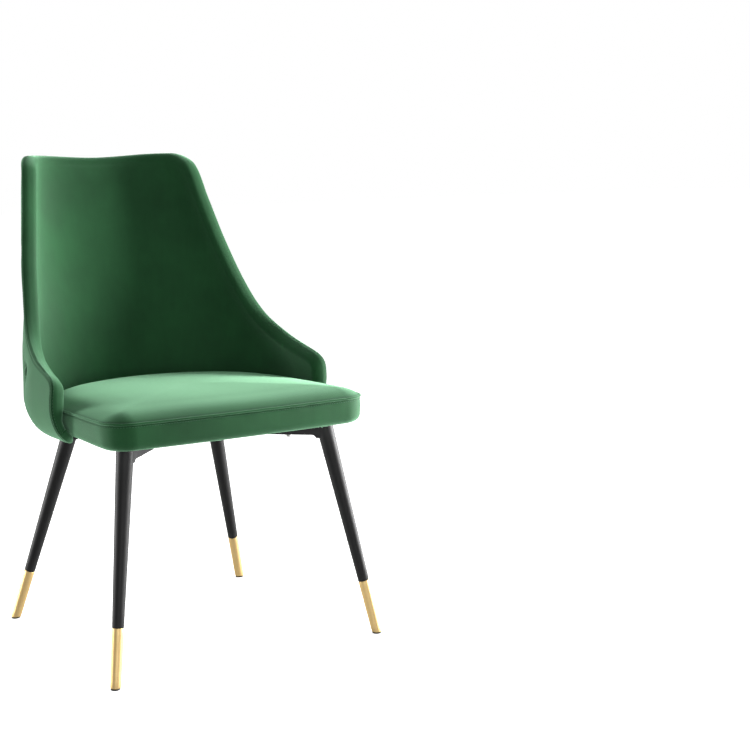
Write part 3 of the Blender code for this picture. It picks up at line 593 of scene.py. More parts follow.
def plan_place(z, distance):
    """x and y on the outer surface at each height and arc distance."""
    px = np.empty(len(z))
    py = np.empty(len(z))
    for begin in range(0, len(z), BATCH):
        part = slice(begin, begin + BATCH)
        s, x, y = sections(z[part])
        want = np.minimum(distance[part], s[:, -1] - 1e-6)
        k = np.clip((s <= want[:, None]).sum(axis=1) - 1, 0, s.shape[1] - 2)
        rows = np.arange(len(k))
        t = (want - s[rows, k]) / np.maximum(s[rows, k + 1] - s[rows, k], 1e-12)
        px[part] = x[rows, k] + (x[rows, k + 1] - x[rows, k]) * t
        py[part] = y[rows, k] + (y[rows, k + 1] - y[rows, k]) * t
    return px, py


def top_height(x):
    """Height of the upper rim over a place across the back."""
    x = np.abs(x)
    middle = TOP_Z - TOP_MIDDLE_DIP * (1.0 - smooth(x / TOP_PEAK_X))
    return np.where(x < TOP_PEAK_X, middle, TOP_Z - TOP_CORNER_DROP * (x - TOP_PEAK_X) ** 2)


def level_to_z(level, x):
    """Real height of a level: above the blend height, levels follow the curved upper rim."""
    share = np.maximum(level - TOP_BLEND_Z, 0.0) / (TOP_Z - TOP_BLEND_Z)
    return np.where(level > TOP_BLEND_Z,
                    TOP_BLEND_Z + (top_height(x) - TOP_BLEND_Z) * share, level)


def find_reach(level):
    """Arc distance from the rear centre to the rim."""
    z = np.maximum(level, TURN_Z)
    for _ in range(4):
        s, x, y = sections(z)
        edge = rim_y(np.where(level > TURN_Z, z, level))
        found = np.array([np.interp(-e, -row_y, row_s) for e, row_y, row_s in zip(edge, y, s)])
        near = np.array([np.interp(f, row_s, row_x) for f, row_s, row_x in zip(found, s, x)])
        z = level_to_z(np.maximum(level, TURN_Z), near)
    return found


REACH_LEVELS = np.linspace(OUTER_LOW, TOP_Z, 541)
REACH_FOUND = find_reach(REACH_LEVELS)


def reach(level):
    """Arc distance from the rear centre to the rim, at each level."""
    return np.interp(level, REACH_LEVELS, REACH_FOUND)


def implicit(x, y, z):
    """Value that is 1 on the outer surface and grows outwards."""
    start = curve_start(z)
    across = np.abs(x) / half_width(z)
    along = np.maximum(y - start, 0.0) / (rear_centre(z) - start)
    power = fullness(z)
    return across ** power + along ** power


def turned(level):
    """How far the surface has turned in under the seat, from 0 to 1."""
    return np.clip((TURN_Z - level) / TURN_ARC, 0.0, 1.0)


def surface(param):
    """Points and outward normals of the back's outer surface at rows of (distance, level)."""
    distance, level = param.T
    side = np.where(distance < 0.0, -1.0, 1.0)
    far = np.abs(distance)
    z = np.maximum(level, TURN_Z)
    px, py = plan_place(z, far)
    high = z > TOP_BLEND_Z
    if high.any():
        z = z.copy()
        z[high] = level_to_z(z[high], px[high])
        px[high], py[high] = plan_place(z[high], far[high])
    place = np.stack([px, py, z])
    steps = np.eye(3)[:, :, None] * SLOPE_STEP
    grad = np.stack([implicit(*(place + step)) - implicit(*(place - step)) for step in steps],
                    axis=1)
    grad[:, 0] *= side
    points = np.stack([side * px, py, z], axis=1)
    normals = unit(grad)
    low = level < TURN_Z
    if low.any():
        flat = unit(grad[low] * np.array([1.0, 1.0, 0.0]))
        angle = turned(level[low]) * math.pi / 2
        points[low] -= flat * (TURN_IN * (1.0 - np.cos(angle)))[:, None]
        points[low, 2] -= TURN_DOWN * np.sin(angle)
        under = flat * (np.cos(angle) / TURN_IN)[:, None]
        under[:, 2] = -np.sin(angle) / TURN_DOWN
        normals[low] = unit(under)
    return points, normals


def side_room(param):
    """Arc distance left between a place on the back and the rim beside it."""
    return reach(param[:, 1]) - np.abs(param[:, 0])


def rim_room(param):
    """Distance left to the nearest part of the rim, beside or above."""
    return np.minimum(side_room(param), TOP_Z - param[:, 1])


def build_up(param, normals):
    """Depths of the ends of the outer pad, the core and the whole wall."""
    under = turned(param[:, 1])
    edge = np.clip(rim_room(param), 0.0, None)
    rear = normals[:, 1] ** 2 * smooth(edge / EXTRA_FADE) * (1.0 - under)
    foam = FOAM_END_RIM + (FOAM_END_REAR - FOAM_END_RIM) * rear
    foam += (FOAM_END_UNDER - foam) * under
    wall = RIM_THICKNESS + REAR_EXTRA * rear
    core = foam + GAP + CORE
    thin = core + COVER + 4 * GAP
    wall += (thin - wall) * smooth(under / 0.45)
    return foam, core, wall


# ---------------------------------------------------------------- rim curve of the back

CURVE_STEP = 0.004
CORNER_SMOOTH = 8
CORNER_POINTS = 6.0
ARM_SHOULDER_Z = 0.503
ARM_TOP_Z = 0.492
ARM_FADE = 0.055
SHOULDER_SMOOTH = 14
SHOULDER_POINTS = 9.0
INWARD_BLUR = 19
END_POINTS = 8.0


def rim_curve(low):
    """Rim of the back once over the top, right to left, as rows of (distance, level)."""
    levels = np.linspace(low, TOP_Z, 700)
    side = np.stack([reach(levels), levels], axis=1)
    top = np.stack([np.linspace(side[-1, 0], 0.0, 120)[1:], np.full(119, TOP_Z)], axis=1)
    half = np.vstack([side, top])
    length = run_along(half)
    count = int(round(length[-1] / CURVE_STEP)) + 1
    even = np.linspace(0.0, length[-1], count)
    half = at_run(length, half, even)
    number = np.arange(count)
    corner = np.interp(length[len(side) - 1], even, number)
    near_corner = np.clip(1.0 - np.abs(number - corner) / CORNER_POINTS, 0.0, 1.0)
    relax(half, near_corner[:, None], CORNER_SMOOTH)
    before_corner = half[:int(corner) - 10, 1]
    shoulder = int(np.argmin(np.abs(before_corner - ARM_SHOULDER_Z)))
    near_shoulder = smooth(1.0 - np.abs(number - shoulder) / SHOULDER_POINTS)
    relax(half, near_shoulder[:, None], SHOULDER_SMOOTH)
    curve = np.vstack([half, half[-2::-1] * np.array([-1.0, 1.0])])
    tangent = unit(np.gradient(curve, axis=0))
    inward = blurred(np.stack([-tangent[:, 1], tangent[:, 0]], axis=1), INWARD_BLUR)
    number = np.arange(len(curve))
    from_end = smooth(np.minimum(number, len(curve) - 1 - number) / END_POINTS)[:, None]
    flat = np.stack([-np.sign(curve[:, 0]), np.zeros(len(curve))], axis=1)
    return curve, unit(flat + (inward - flat) * from_end)


# Rounding of the rim, and how the two pads of the back meet the seam and the shell.
OUTER_ROUND = 0.0050
ARM_ROUND = 0.0062
INNER_ROUND = 0.0130
SEAM_TUCK = 0.0026
PAD_BACK_EDGE = 0.0018
PAD_BACK_GAP = 0.0004
INNER_FIELD_STEP = 0.0075
OUTER_WANDER = 0.0006
INNER_WANDER = 0.0009
SHELL_FIELD_STEP = 0.011
SHELL_RINGS = (0.0032, 0.0036, 0.0050, 0.0090)


def rim_shape(curve):
    """Rounding radius, seam angle, wall depth and core depth along the rim curve."""
    _, normals = surface(curve)
    _, core, wall = build_up(curve, normals)
    arm = 1.0 - smooth((curve[:, 1] - ARM_TOP_Z) / ARM_FADE)
    outer = OUTER_ROUND + (ARM_ROUND - OUTER_ROUND) * arm
    outer = np.minimum(outer, wall * 0.62)
    seam = 0.80 * smooth(arm * 1.4)
    return outer, seam, wall, core


SEAM_RUN = (0.0002, 0.0007, 0.0014, 0.0023, 0.0030, 0.0036, 0.0044)
OUTER_RUN = (0.0058, 0.0078, 0.0108, 0.0142)
STITCH_LINE = 0.0033
STITCH_LINE_WIDTH, STITCH_PULL = 0.0008, 0.0006
LIP_REACH, LIP_PULL = 0.0009, 0.0009
GATHER_REACH, GATHER_DEPTH = 0.004, 0.00035


def outward_profile(outer, seam, run):
    """Edge inset and depth at a run from the seam towards the outer face."""
    arc = outer * seam
    angle = np.clip(seam - run / outer, 0.0, None)
    e = outer * (1.0 - np.sin(angle)) + np.clip(run - arc, 0.0, None)
    return e, outer * (1.0 - np.cos(angle))


def rimward_profile(outer, seam, run):
    """Edge inset and depth at a run from the seam over the rim."""
    angle = np.minimum(seam + run / outer, math.pi / 2)
    beyond = np.clip(run - outer * (math.pi / 2 - seam), 0.0, None)
    return outer * (1.0 - np.sin(angle)), outer * (1.0 - np.cos(angle)) + beyond


def pulled_in(run, wobble):
    """Extra depth, and pressed nap with painted shade, where the stitching holds the cover down."""
    line = math.exp(-((run - STITCH_LINE) / STITCH_LINE_WIDTH) ** 2)
    lip = math.exp(-run / LIP_REACH)
    gathers = wobble * GATHER_DEPTH * math.exp(-run / GATHER_REACH)
    depth = STITCH_PULL * line + LIP_PULL * lip + gathers
    # The second value is painted shade along the stitch line and the seam lip, with the pressed
    # nap.
    return depth, 0.60 * line + 0.95 * lip


# ---------------------------------------------------------------- tufting

def button_spots():
    """Button centres as (distance, level), keyed by plan place."""
    spots = {}
    for x, z in BUTTON_PLACES:
        level = z
        if z > TOP_BLEND_Z:
            share = (z - TOP_BLEND_Z) / (float(top_height(x)) - TOP_BLEND_Z)
            level = TOP_BLEND_Z + (TOP_Z - TOP_BLEND_Z) * share
        s, sx, _ = sections(np.array([max(z, TURN_Z)]))
        distance = float(np.interp(x, sx[0, :-1], s[0, :-1]))
        for side in ((1,) if x == 0.0 else (1, -1)):
            spots[(x * side, z)] = (side * distance, level)
    return spots


SPOTS = button_spots()


def button_sinks():
    """Depth each button is pulled in, as far as the foam behind it allows."""
    spots = np.array(list(SPOTS.values()))
    _, normals = surface(spots)
    foam, _, _ = build_up(spots, normals)
    return np.minimum(foam - 0.0020, SINK_MOST).tolist()


SINKS = button_sinks()


def pleat_lines():
    """Pleats between neighbouring buttons, and from the outer ones to the edges."""
    centre2, centre4 = (0.0, 0.698), (0.0, 0.459)
    between = []
    outward = []
    for s in (1, -1):
        top, mid, low = (0.085 * s, 0.822), (0.083 * s, 0.580), (0.169 * s, 0.470)
        wide2, wide3, wide4 = (0.164 * s, 0.708), (0.225 * s, 0.604), (0.2696 * s, 0.505)
        between += [(SPOTS[a], SPOTS[b]) for a, b in (
            (top, centre2), (top, wide2), (centre2, mid), (wide2, mid), (wide2, wide3),
            (mid, centre4), (mid, low), (wide3, low), (wide3, wide4))]
        outward.append((SPOTS[top], (SPOTS[top][0] * 1.06, TOP_Z - 0.004)))
        for key, rise, short in ((wide2, 0.012, 0.005), (wide3, 0.010, 0.007)):
            level = SPOTS[key][1] + rise
            outward.append((SPOTS[key], (s * (float(reach(level)) - short), level)))
        outward += [(SPOTS[key], (SPOTS[key][0], PLEAT_LOW)) for key in (low, wide4)]
    outward.append((SPOTS[centre4], (SPOTS[centre4][0], PLEAT_LOW)))
    return [(np.array(a), np.array(b)) for a, b in between + outward]


PLEATS = pleat_lines()


def tuft_depth(param):
    """Depth of the tufted skin below its envelope, and its pressed nap with painted shade along the
    pleats and in the dimples, at each place.
    """
    crease = np.zeros(len(param))
    line = np.full(len(param), 1.0)
    for a, b in PLEATS:
        run = b - a
        length = np.linalg.norm(run)
        ahead = run / length
        rel = param - a
        along = rel @ ahead
        off = rel[:, 0] * -ahead[1] + rel[:, 1] * ahead[0]
        t = np.clip(along / length, 0.0, 1.0)
        miss = np.hypot(along - t * length, off)
        both_ends = length - np.abs(2 * along - length)
        near = np.exp(-np.clip(both_ends / 2, 0, None) / PINCH_REACH)
        fold = FOLD_DEPTH * np.exp(-(miss / FOLD_WIDTH) ** 1.2)
        fold += ROLL_DEPTH * np.exp(-(miss / ROLL_WIDTH) ** 2)
        fold += PINCH_DEPTH * near * np.exp(-(miss / PINCH_WIDTH) ** 2)
        fold += LAP_DEPTH * np.tanh(off / LAP_WIDTH) * np.exp(-miss / LAP_REACH)
        crease = np.maximum(crease, fold)
        line = np.minimum(line, miss)
    edge = rim_room(param)
    inner = smooth((edge - EDGE_FREE) / EDGE_FADE)
    crease *= inner
    dip = np.zeros(len(param))
    deepest = np.full(len(param), 1.0)
    for spot, sunk in zip(SPOTS.values(), SINKS):
        r = np.hypot(param[:, 0] - spot[0], param[:, 1] - spot[1])
        out = np.clip(r - DIMPLE_FLOOR, 0.0, None)
        cone = (0.45 * np.exp(-out / DIMPLE_STEEP) +
                0.55 * np.exp(-(out / DIMPLE_WIDE) ** 1.3))
        dip = np.maximum(dip, sunk * cone)
        deepest = np.where(r < DIMPLE_LIMIT, sunk, deepest)
    depth = np.hypot(dip, crease * (1.0 - 0.5 * np.clip(dip / 0.009, 0, 1)))
    # Painted shade: dark along each pleat line and deepening into each button dimple.
    crush_and_shade = 0.62 * np.exp(-(line / 0.0011) ** 2) * inner
    crush_and_shade = np.maximum(crush_and_shade, 0.85 * np.clip(dip / SINK_MOST, 0.0, 1.0) ** 1.1)
    return np.minimum(depth, deepest), crush_and_shade


def field_points(border, spacing, keep_off):
    """Staggered grid of points inside a border polygon, away from the kept points."""
    tree = KDTree(len(keep_off))
    for k, (p, _) in enumerate(keep_off):
        tree.insert((p[0], p[1], 0.0), k)
    tree.balance()
    low = border.min(axis=0)
    high = border.max(axis=0)
    found = []
    row_height = spacing * math.sqrt(3) / 2
    for j in range(int((high[1] - low[1]) / row_height) + 1):
        y = low[1] + j * row_height
        crossing = []
        for k in range(len(border)):
            (x1, y1), (x2, y2) = border[k - 1], border[k]
            if (y1 > y) != (y2 > y):
                crossing.append(x1 + (y - y1) / (y2 - y1) * (x2 - x1))
        crossing.sort()
        for enter, leave in zip(crossing[::2], crossing[1::2]):
            count = int((leave - enter) / spacing)
            shift = 0.5 * (j % 2)
            middle = (enter + leave) / 2
            for i in range(-count // 2 - 1, count // 2 + 2):
                x = middle + (i + shift) * spacing
                if enter + spacing * 0.5 < x < leave - spacing * 0.5:
                    near = tree.find((x, y, 0.0))
                    if near[2] > keep_off[near[1]][1]:
                        found.append((x, y))
    return found


def tuft_points():
    """Fine points along pleats and round buttons, as (place, clearance) pairs."""
    kept = []
    centres = list(SPOTS.values())
    for d, level in centres:
        for number, radius in enumerate(DIMPLE_RINGS):
            count = 1 if radius == 0.0 else 10 if radius < 0.01 else 30
            for k in range(count):
                turn = 2 * math.pi * (k + 0.5 * (number % 2)) / count
                kept.append(((d + radius * math.cos(turn), level + radius * math.sin(turn)),
                             0.0022 + radius * 0.10))
    for a, b in PLEATS:
        run = b - a
        length = np.linalg.norm(run)
        ahead = run / length
        across = np.array([-ahead[1], ahead[0]])
        steps = int(length / PLEAT_STEP)
        for row in PLEAT_ROWS:
            for sign in ((0,) if row == 0.0 else (1, -1)):
                for k in range(steps + 1):
                    place_at = a + ahead * (length * k / steps) + across * row * sign
                    nearest = min(math.hypot(*(place_at - centre)) for centre in centres)
                    if nearest >= PLEAT_STOP + row:
                        kept.append((tuple(place_at), 0.0016 + row * 0.32))
    return kept


def thin_out(kept):
    """Drop points that crowd an earlier one."""
    order = sorted(range(len(kept)), key=lambda k: kept[k][1])
    tree = KDTree(len(kept))
    for k in range(len(kept)):
        tree.insert((*kept[k][0], 0.0), k)
    tree.balance()
    gone = set()
    for k in order:
        if k in gone:
            continue
        crowd = max(kept[k][1] * CROWD_SHARE, CROWD_LEAST)
        near = tree.find_range((*kept[k][0], 0.0), crowd)
        gone.update(other for _, other, _ in near if other != k)
    return [kept[k] for k in range(len(kept)) if k not in gone]


def inside(points, border):
    """Which of the points lie inside the border polygon."""
    x, y = points[:, 0], points[:, 1]
    odd = np.zeros(len(points), dtype=bool)
    for k in range(len(border)):
        (x1, y1), (x2, y2) = border[k - 1], border[k]
        if y1 == y2:
            continue
        hit = ((y1 > y) != (y2 > y)) & (x < (x2 - x1) * (y - y1) / (y2 - y1) + x1)
        odd ^= hit
    return odd


# ---------------------------------------------------------------- pads of the back

def strip_and_field(rings, low, spacing, detail=None):
    """Join offset rings along the rim to a triangulated field; returns params and faces."""
    count = len(rings[0])
    start = (len(rings) - 1) * count
    params = [p for ring in rings for p in ring]
    faces = [(a, a + 1, a + count + 1, a + count)
             for r in range(0, start, count) for a in range(r, r + count - 1)]
    inner = rings[-1]
    left, right = inner[-1], inner[0]
    bottom_count = int((right[0] - left[0]) / spacing)
    bottom = [(left[0] + (right[0] - left[0]) * k / bottom_count, low)
              for k in range(1, bottom_count)]
    border = [tuple(p) for p in inner] + bottom
    border_array = np.array(border)
    kept = list(detail) if detail else []
    if kept:
        tree = KDTree(len(border))
        for k, p in enumerate(border):
            tree.insert((*p, 0.0), k)
        tree.balance()
        flags = inside(np.array([p for p, _ in kept]), border_array)
        kept = [item for item, ok in zip(kept, flags)
                if ok and tree.find((*item[0], 0.0))[2] > BORDER_CLEARANCE]
        kept = thin_out(kept)
    keep_off = kept + [(p, spacing * 0.55) for p in border]
    points = border + [p for p, _ in kept] + field_points(border_array, spacing, keep_off)
    result = delaunay_2d_cdt([Vector(p) for p in points], [], [list(range(len(border)))],
                             1, 1e-8)
    numbers = {}
    base = len(params)
    for out, sources in enumerate(result[3]):
        if sources:
            source = min(sources)
            numbers[out] = source + (start if source < count else base - count)
    params += [np.array(p) for p in points[count:]]
    faces += [tuple(numbers[k] for k in tri) for tri in result[2]]
    return np.array(params), faces


def close_solid(name, skin, backing, faces, mat):
    """One closed body from a skin and a backing that share their faces."""
    seen = {}
    for face in faces:
        for k in range(len(face)):
            a, b = face[k - 1], face[k]
            seen[(a, b)] = seen.get((a, b), 0) + 1
    edges = [(a, b) for (a, b) in seen if (b, a) not in seen]
    used = sorted({k for face in faces for k in face})
    new = {k: i for i, k in enumerate(used)}
    verts = [skin[k] for k in used] + [backing[k] for k in used]
    size = len(used)
    whole = [tuple(new[k] for k in face) for face in faces]
    whole += [tuple(size + new[k] for k in face[::-1]) for face in faces]
    whole += [(new[b], new[a], size + new[a], size + new[b]) for a, b in edges]
    return add_object(name, verts, whole, mat, merge=0.0)


def gather(curve):
    """Small uneven gathers of the cloth along the rim seam."""
    run = run_along(curve)
    spots = np.stack([run, np.zeros(len(run)), np.zeros(len(run))], axis=1)
    return noise_field(41, 0.0055, 14)(spots)


def make_outer_pad():
    """Tufted pad on the outside of the back, with its cover wrapped to the rim seam."""
    curve, inward = rim_curve(OUTER_LOW)
    outer, seam, _, _ = rim_shape(curve)
    wobble = gather(curve)
    e, d = outward_profile(outer, seam, SEAM_RUN[0])
    rings = [curve + inward * (e + 0.0004)[:, None]]
    depths = [d + SEAM_TUCK]
    # Painted shade: the seam groove ring is fully dark, and the rings beside it darken along the
    # stitching.
    marks = [1.0]
    for run in SEAM_RUN + OUTER_RUN:
        e, d = outward_profile(outer, seam, run)
        pull, mark = pulled_in(run, wobble)
        rings.append(curve + inward * e[:, None])
        depths.append(d + pull)
        marks.append(mark)
    rings[0][[0, -1], 1] = OUTER_LOW
    params, faces = strip_and_field(rings, OUTER_LOW, FIELD_STEP, tuft_points())
    ring_depth = np.concatenate(depths)
    depth = np.zeros(len(params))
    depth[:len(ring_depth)] = ring_depth
    tufted, crush_and_shade = tuft_depth(params)
    depth += tufted
    # Painted shade of the seam rings joins the pleat and dimple shade.
    ring_marks = np.repeat(marks, len(curve))
    crush_and_shade[:len(ring_marks)] = np.maximum(crush_and_shade[:len(ring_marks)], ring_marks)
    points, normals = surface(params)
    wander = noise_field(3, 0.055)(points) * OUTER_WANDER * smooth(side_room(params) / 0.05)
    skin = points - normals * (depth + GAP + wander + OUTER_WANDER)[:, None]
    for (d, level), sunk in zip(SPOTS.values(), SINKS):
        centre, axis = surface(np.array([[d, level]]))
        near = np.hypot(params[:, 0] - d, params[:, 1] - level) < DIMPLE_FLOOR
        off = (skin[near] - centre[0]) @ axis[0] + sunk
        skin[near] -= off[:, None] * axis[0]
    foam, _, _ = build_up(params, normals)
    kept_in = params.copy()
    count = len(curve)
    for r in range(len(rings)):
        part = slice(r * count, (r + 1) * count)
        e = ((params[part] - curve) * inward).sum(axis=1)
        kept_in[part] += inward * np.clip(SEAM_TUCK - e, 0.0, None)[:, None]
    back_points, back_normals = surface(kept_in)
    backing = back_points - back_normals * foam[:, None]
    pad = close_solid("back_outer_pad", skin, backing, faces, VELVET)
    set_crush_and_shade(pad, np.concatenate([crush_and_shade, np.zeros(len(crush_and_shade))]))
    finish_piece(pad, "velvet_green", "back_outer_cover", "back_outer_foam")


def make_inner_pad():
    """Smooth pad on the inside of the back, wrapped round the rim to the seam."""
    curve, inward = rim_curve(INNER_LOW)
    count = len(curve)
    outer, seam, wall, core = rim_shape(curve)
    inner = np.minimum(INNER_ROUND, (wall - outer) * 0.8)
    at_edge = np.full(count, PAD_BACK_EDGE)
    behind = core + PAD_BACK_GAP
    wobble = gather(curve)
    e, d = rimward_profile(outer, seam, SEAM_RUN[0])
    # Each ring: inset and depth of the cover, then inset and depth of the pad's back.
    rows = [(e - 0.0003, d + SEAM_TUCK, e - 0.0008, d + 0.0032)]
    # Painted shade: the seam groove ring is fully dark, and the rings beside it darken along the
    # stitching.
    marks = [1.0]
    for run in SEAM_RUN:
        e, d = rimward_profile(outer, seam, run)
        pull, mark = pulled_in(run, wobble)
        rows.append((e + pull * 0.5, d + pull * 0.5, at_edge, d + 0.0034))
        marks.append(mark)
    left = outer * (math.pi / 2 - seam) - SEAM_RUN[-1]
    for share in (0.5, 1.0):
        e, d = rimward_profile(outer, seam, SEAM_RUN[-1] + left * share)
        rows.append((e - 0.0003, d, at_edge, d + 0.0030))
    seam_rows = len(rows)
    lowest = wall - inner
    for share in (0.25, 0.5, 0.75, 1.0):
        d = outer + (lowest - outer) * share
        bulge = np.full(count, -0.0009 * math.sin(share * math.pi) - 0.0002)
        rows.append((bulge, d, at_edge, np.minimum(d, behind)))
    for share in (0.2, 0.4, 0.6, 0.8, 1.0):
        angle = share * math.pi / 2
        e = inner * (1.0 - math.cos(angle))
        rows.append((e, lowest + inner * math.sin(angle), e, behind))
    rows += [(inner + extra, wall, inner + extra, behind) for extra in (0.004, 0.009)]
    rings = [curve + inward * row[0][:, None] for row in rows]
    params, faces = strip_and_field(rings, INNER_LOW, INNER_FIELD_STEP)
    points, normals = surface(params)
    _, field_core, depth = build_up(params, normals)
    depth[:count * (len(rows) - 1)] = np.concatenate([row[1] for row in rows[:-1]])
    wander = noise_field(5, 0.09)(points) * INNER_WANDER
    gate = smooth(side_room(params) / 0.06) * smooth((TOP_Z - params[:, 1]) / 0.05)
    skin = points - normals * (depth - GAP + wander * gate - INNER_WANDER * gate)[:, None]
    back = params.copy()
    back_depth = field_core + PAD_BACK_GAP
    for r, (_, d, back_e, back_d) in enumerate(rows):
        part = slice(r * count, (r + 1) * count)
        back[part] = curve + inward * np.maximum(back_e, PAD_BACK_EDGE)[:, None]
        if r >= seam_rows:
            back_d = np.minimum(back_d, np.maximum(d - 0.0006, 0.001))
        back_depth[part] = back_d
    back_points, back_normals = surface(back)
    backing = back_points - back_normals * back_depth[:, None]
    pad = close_solid("back_inner_pad", skin, backing, faces, VELVET)
    # Painted shade on the seam rings only; the rest of the pad and its back stay at 0.
    crush_and_shade = np.zeros(2 * len(params))
    crush_and_shade[:count * len(marks)] = np.repeat(marks, count)
    set_crush_and_shade(pad, crush_and_shade)
    finish_piece(pad, "velvet_green", "back_inner_cover", "back_inner_foam")


def make_plywood_shell():
    """Bent plywood shell between the two pads, rounded off along its edges."""
    curve, inward = rim_curve(OUTER_LOW)
    rings = [curve + inward * e for e in SHELL_RINGS]
    rings[0][[0, -1], 1] = OUTER_LOW
    params, faces = strip_and_field(rings, OUTER_LOW, SHELL_FIELD_STEP)
    points, normals = surface(params)
    foam, core, _ = build_up(params, normals)
    trim = np.zeros(len(params))
    count = len(curve)
    trim[:count] = 0.0022
    trim[count:2 * count] = 0.0008
    outer_face = points - normals * (foam + GAP + trim)[:, None]
    inner_face = points - normals * (core - trim)[:, None]
    shell = close_solid("plywood_shell", outer_face, inner_face, faces, PLYWOOD)
    finish_piece(shell, "plywood_birch", "back_core")


HEM_TOP = 0.4085
HEM_THICKNESS = 0.0008
HEM_SMOOTH = 12
HEM_BLUR = 17


def make_hem():
    """Lower hem of the outer cover, turned round the shell's edge and up inside it."""
    levels = np.linspace(HEM_TOP, OUTER_LOW, 40)
    side = np.stack([reach(levels), levels], axis=1)
    end = side[-1, 0]
    bottom = np.stack([np.linspace(end, -end, 240)[1:-1], np.full(238, OUTER_LOW)], axis=1)
    mirrored = side[::-1] * np.array([-1.0, 1.0])
    path = np.vstack([side, bottom, mirrored])
    run = run_along(path)
    path = at_run(run, path, np.linspace(0.0, run[-1], int(run[-1] / CURVE_STEP)))
    relax(path, np.ones((len(path), 1)), HEM_SMOOTH)
    tangent = unit(np.gradient(path, axis=0))
    inward = unit(blurred(np.stack([tangent[:, 1], -tangent[:, 0]], axis=1), HEM_BLUR))
    edge_points, normals = surface(path)
    foam, core, _ = build_up(path, normals)
    outer_profile = [(0.0010, foam * 0.30), (-0.0006, foam * 0.40), (-0.0014, foam * 0.8),
                     (-0.0014, core * 0.85), (-0.0006, core + 0.0009), (0.0016, core + 0.0016),
                     (0.0040, core + 0.0016), (0.0068, core + 0.0014)]
    inner_profile = [(e + HEM_THICKNESS * (1.0 if k < 5 else 0.0),
                      d - HEM_THICKNESS * (0.0 if k < 4 else 1.0))
                     for k, (e, d) in enumerate(outer_profile)]
    ring = []
    within = path + inward * 0.003
    rimward = unit(edge_points - surface(within)[0])
    for e, d in outer_profile + inner_profile[::-1]:
        param = path + inward * max(e, 0.0)
        points, around = surface(param)
        ring.append(points + rimward * max(-e, 0.0) - around * d[:, None])
    verts, faces = loft(np.stack(ring, axis=1), capped=True)
    hem = add_object("cover_hem", verts, faces, VELVET)
    finish_piece(hem, "velvet_green")


def stitch(centre, along, out, length, radius):
    """One sewn stitch: a short bowed thread with its ends sunk into the cloth."""
    across = np.cross(along, out)
    loops = []
    for k in range(5):
        t = k / 4
        swell = math.sin(math.pi * min(max(t, 0.08), 0.92))
        middle = centre + along * (t - 0.5) * length + out * (radius * 1.1 * swell - radius * 0.8)
        r = radius * (0.45 + 0.55 * swell)
        loops.append([middle + (across * math.cos(a) + out * math.sin(a)) * r
                      for a in (2 * math.pi * j / 6 for j in range(6))])
    return loft(loops, capped=True)


def stitch_row(name, path, outs, pitch, length, radius):
    """Stitches laid at an even pitch along a path of points with outward directions."""
    run = run_along(path)
    wanted = np.arange(pitch / 2, run[-1], pitch)
    centres = at_run(run, path, wanted)
    along = unit(at_run(run, path, wanted + 0.001) - at_run(run, path, wanted - 0.001))
    out = at_run(run, outs, wanted)
    out = unit(out - along * (out * along).sum(axis=1)[:, None])
    verts, faces = merge_parts([stitch(*row, length, radius)
                                for row in zip(centres, along, out)])
    return add_object(name, verts, faces, THREAD, merge=0.0)


# Pitch, length and thread radius of the stitches, and where the band's row lies.
RIM_STITCH = (0.0056, 0.0036, 0.00048)
BAND_STITCH = (0.0050, 0.0032, 0.00045)
BAND_STITCH_INSET = -0.0004
BAND_STITCH_DROP = 0.0052


def make_rim_stitches():
    """Two lines of stitching beside the rim seam, one in each cover."""
    curve, inward = rim_curve(INNER_LOW)
    outer, seam, _, _ = rim_shape(curve)
    for name, profile, sign in (("rim_stitches_outer", outward_profile, -1.0),
                                ("rim_stitches_inner", rimward_profile, 1.0)):
        e, d = profile(outer, seam, STITCH_LINE)
        angle = np.clip(seam + sign * STITCH_LINE / outer, 0.0, math.pi / 2)
        param = curve + inward * e[:, None]
        points, normals = surface(param)
        path = points - normals * (d + 0.0006)[:, None]
        beside = param + np.sign(param[:, :1] + TINY) * np.array([0.002, 0.0])
        sideways = surface(beside)[0]
        rimward = unit(sideways - points)
        outs = normals * np.cos(angle)[:, None] + rimward * np.sin(angle)[:, None]
        row = stitch_row(name, path, outs, *RIM_STITCH)
        finish_piece(row, "velvet_green")


def make_buttons():
    """Covered buttons: a domed cap with the cloth gathered under its edge."""
    for number, ((d, level), sunk) in enumerate(zip(SPOTS.values(), SINKS), start=1):
        centre, axis = surface(np.array([[d, level]]))
        normal = Vector(axis[0])
        turn = normal.to_track_quat("Z", "Y")
        base = Vector(centre[0]) - normal * (sunk - 0.0003)
        phase = random.Random(number).uniform(0.0, 6.28)
        loops = []
        for share, rise in BUTTON_PROFILE:
            ring = []
            for k in range(BUTTON_SEGMENTS):
                a = 2 * math.pi * k / BUTTON_SEGMENTS
                gathers = 1.0 + 0.010 * math.sin(13 * a + phase) * max(share - 0.6, 0.0) / 0.4
                r = BUTTON_RADIUS * share * gathers
                ring.append(base + turn @ Vector((r * math.cos(a), r * math.sin(a),
                                                  BUTTON_HEIGHT * rise)))
            loops.append(ring)
        verts, faces = loft(loops, capped=True)
        verts[len(loops) * BUTTON_SEGMENTS] = tuple(base + turn @ Vector((0, 0, BUTTON_HEIGHT)))
        button = add_object(f"tuft_button_{number:02d}", verts, faces, VELVET, merge=0.0)
        # Painted shade: each cap darkens down its gathered edge into the dimple, and its top keeps
        # a milder darkening for pressed nap.
        rings = [0.42 + 0.58 * (1.0 - float(smooth(rise / 0.8))) for _, rise in BUTTON_PROFILE]
        set_crush_and_shade(button, np.repeat(rings, BUTTON_SEGMENTS).tolist() + [0.42, 1.0])
        finish_piece(button, "velvet_green", f"back_button_{number:02d}")


# ---------------------------------------------------------------- seat

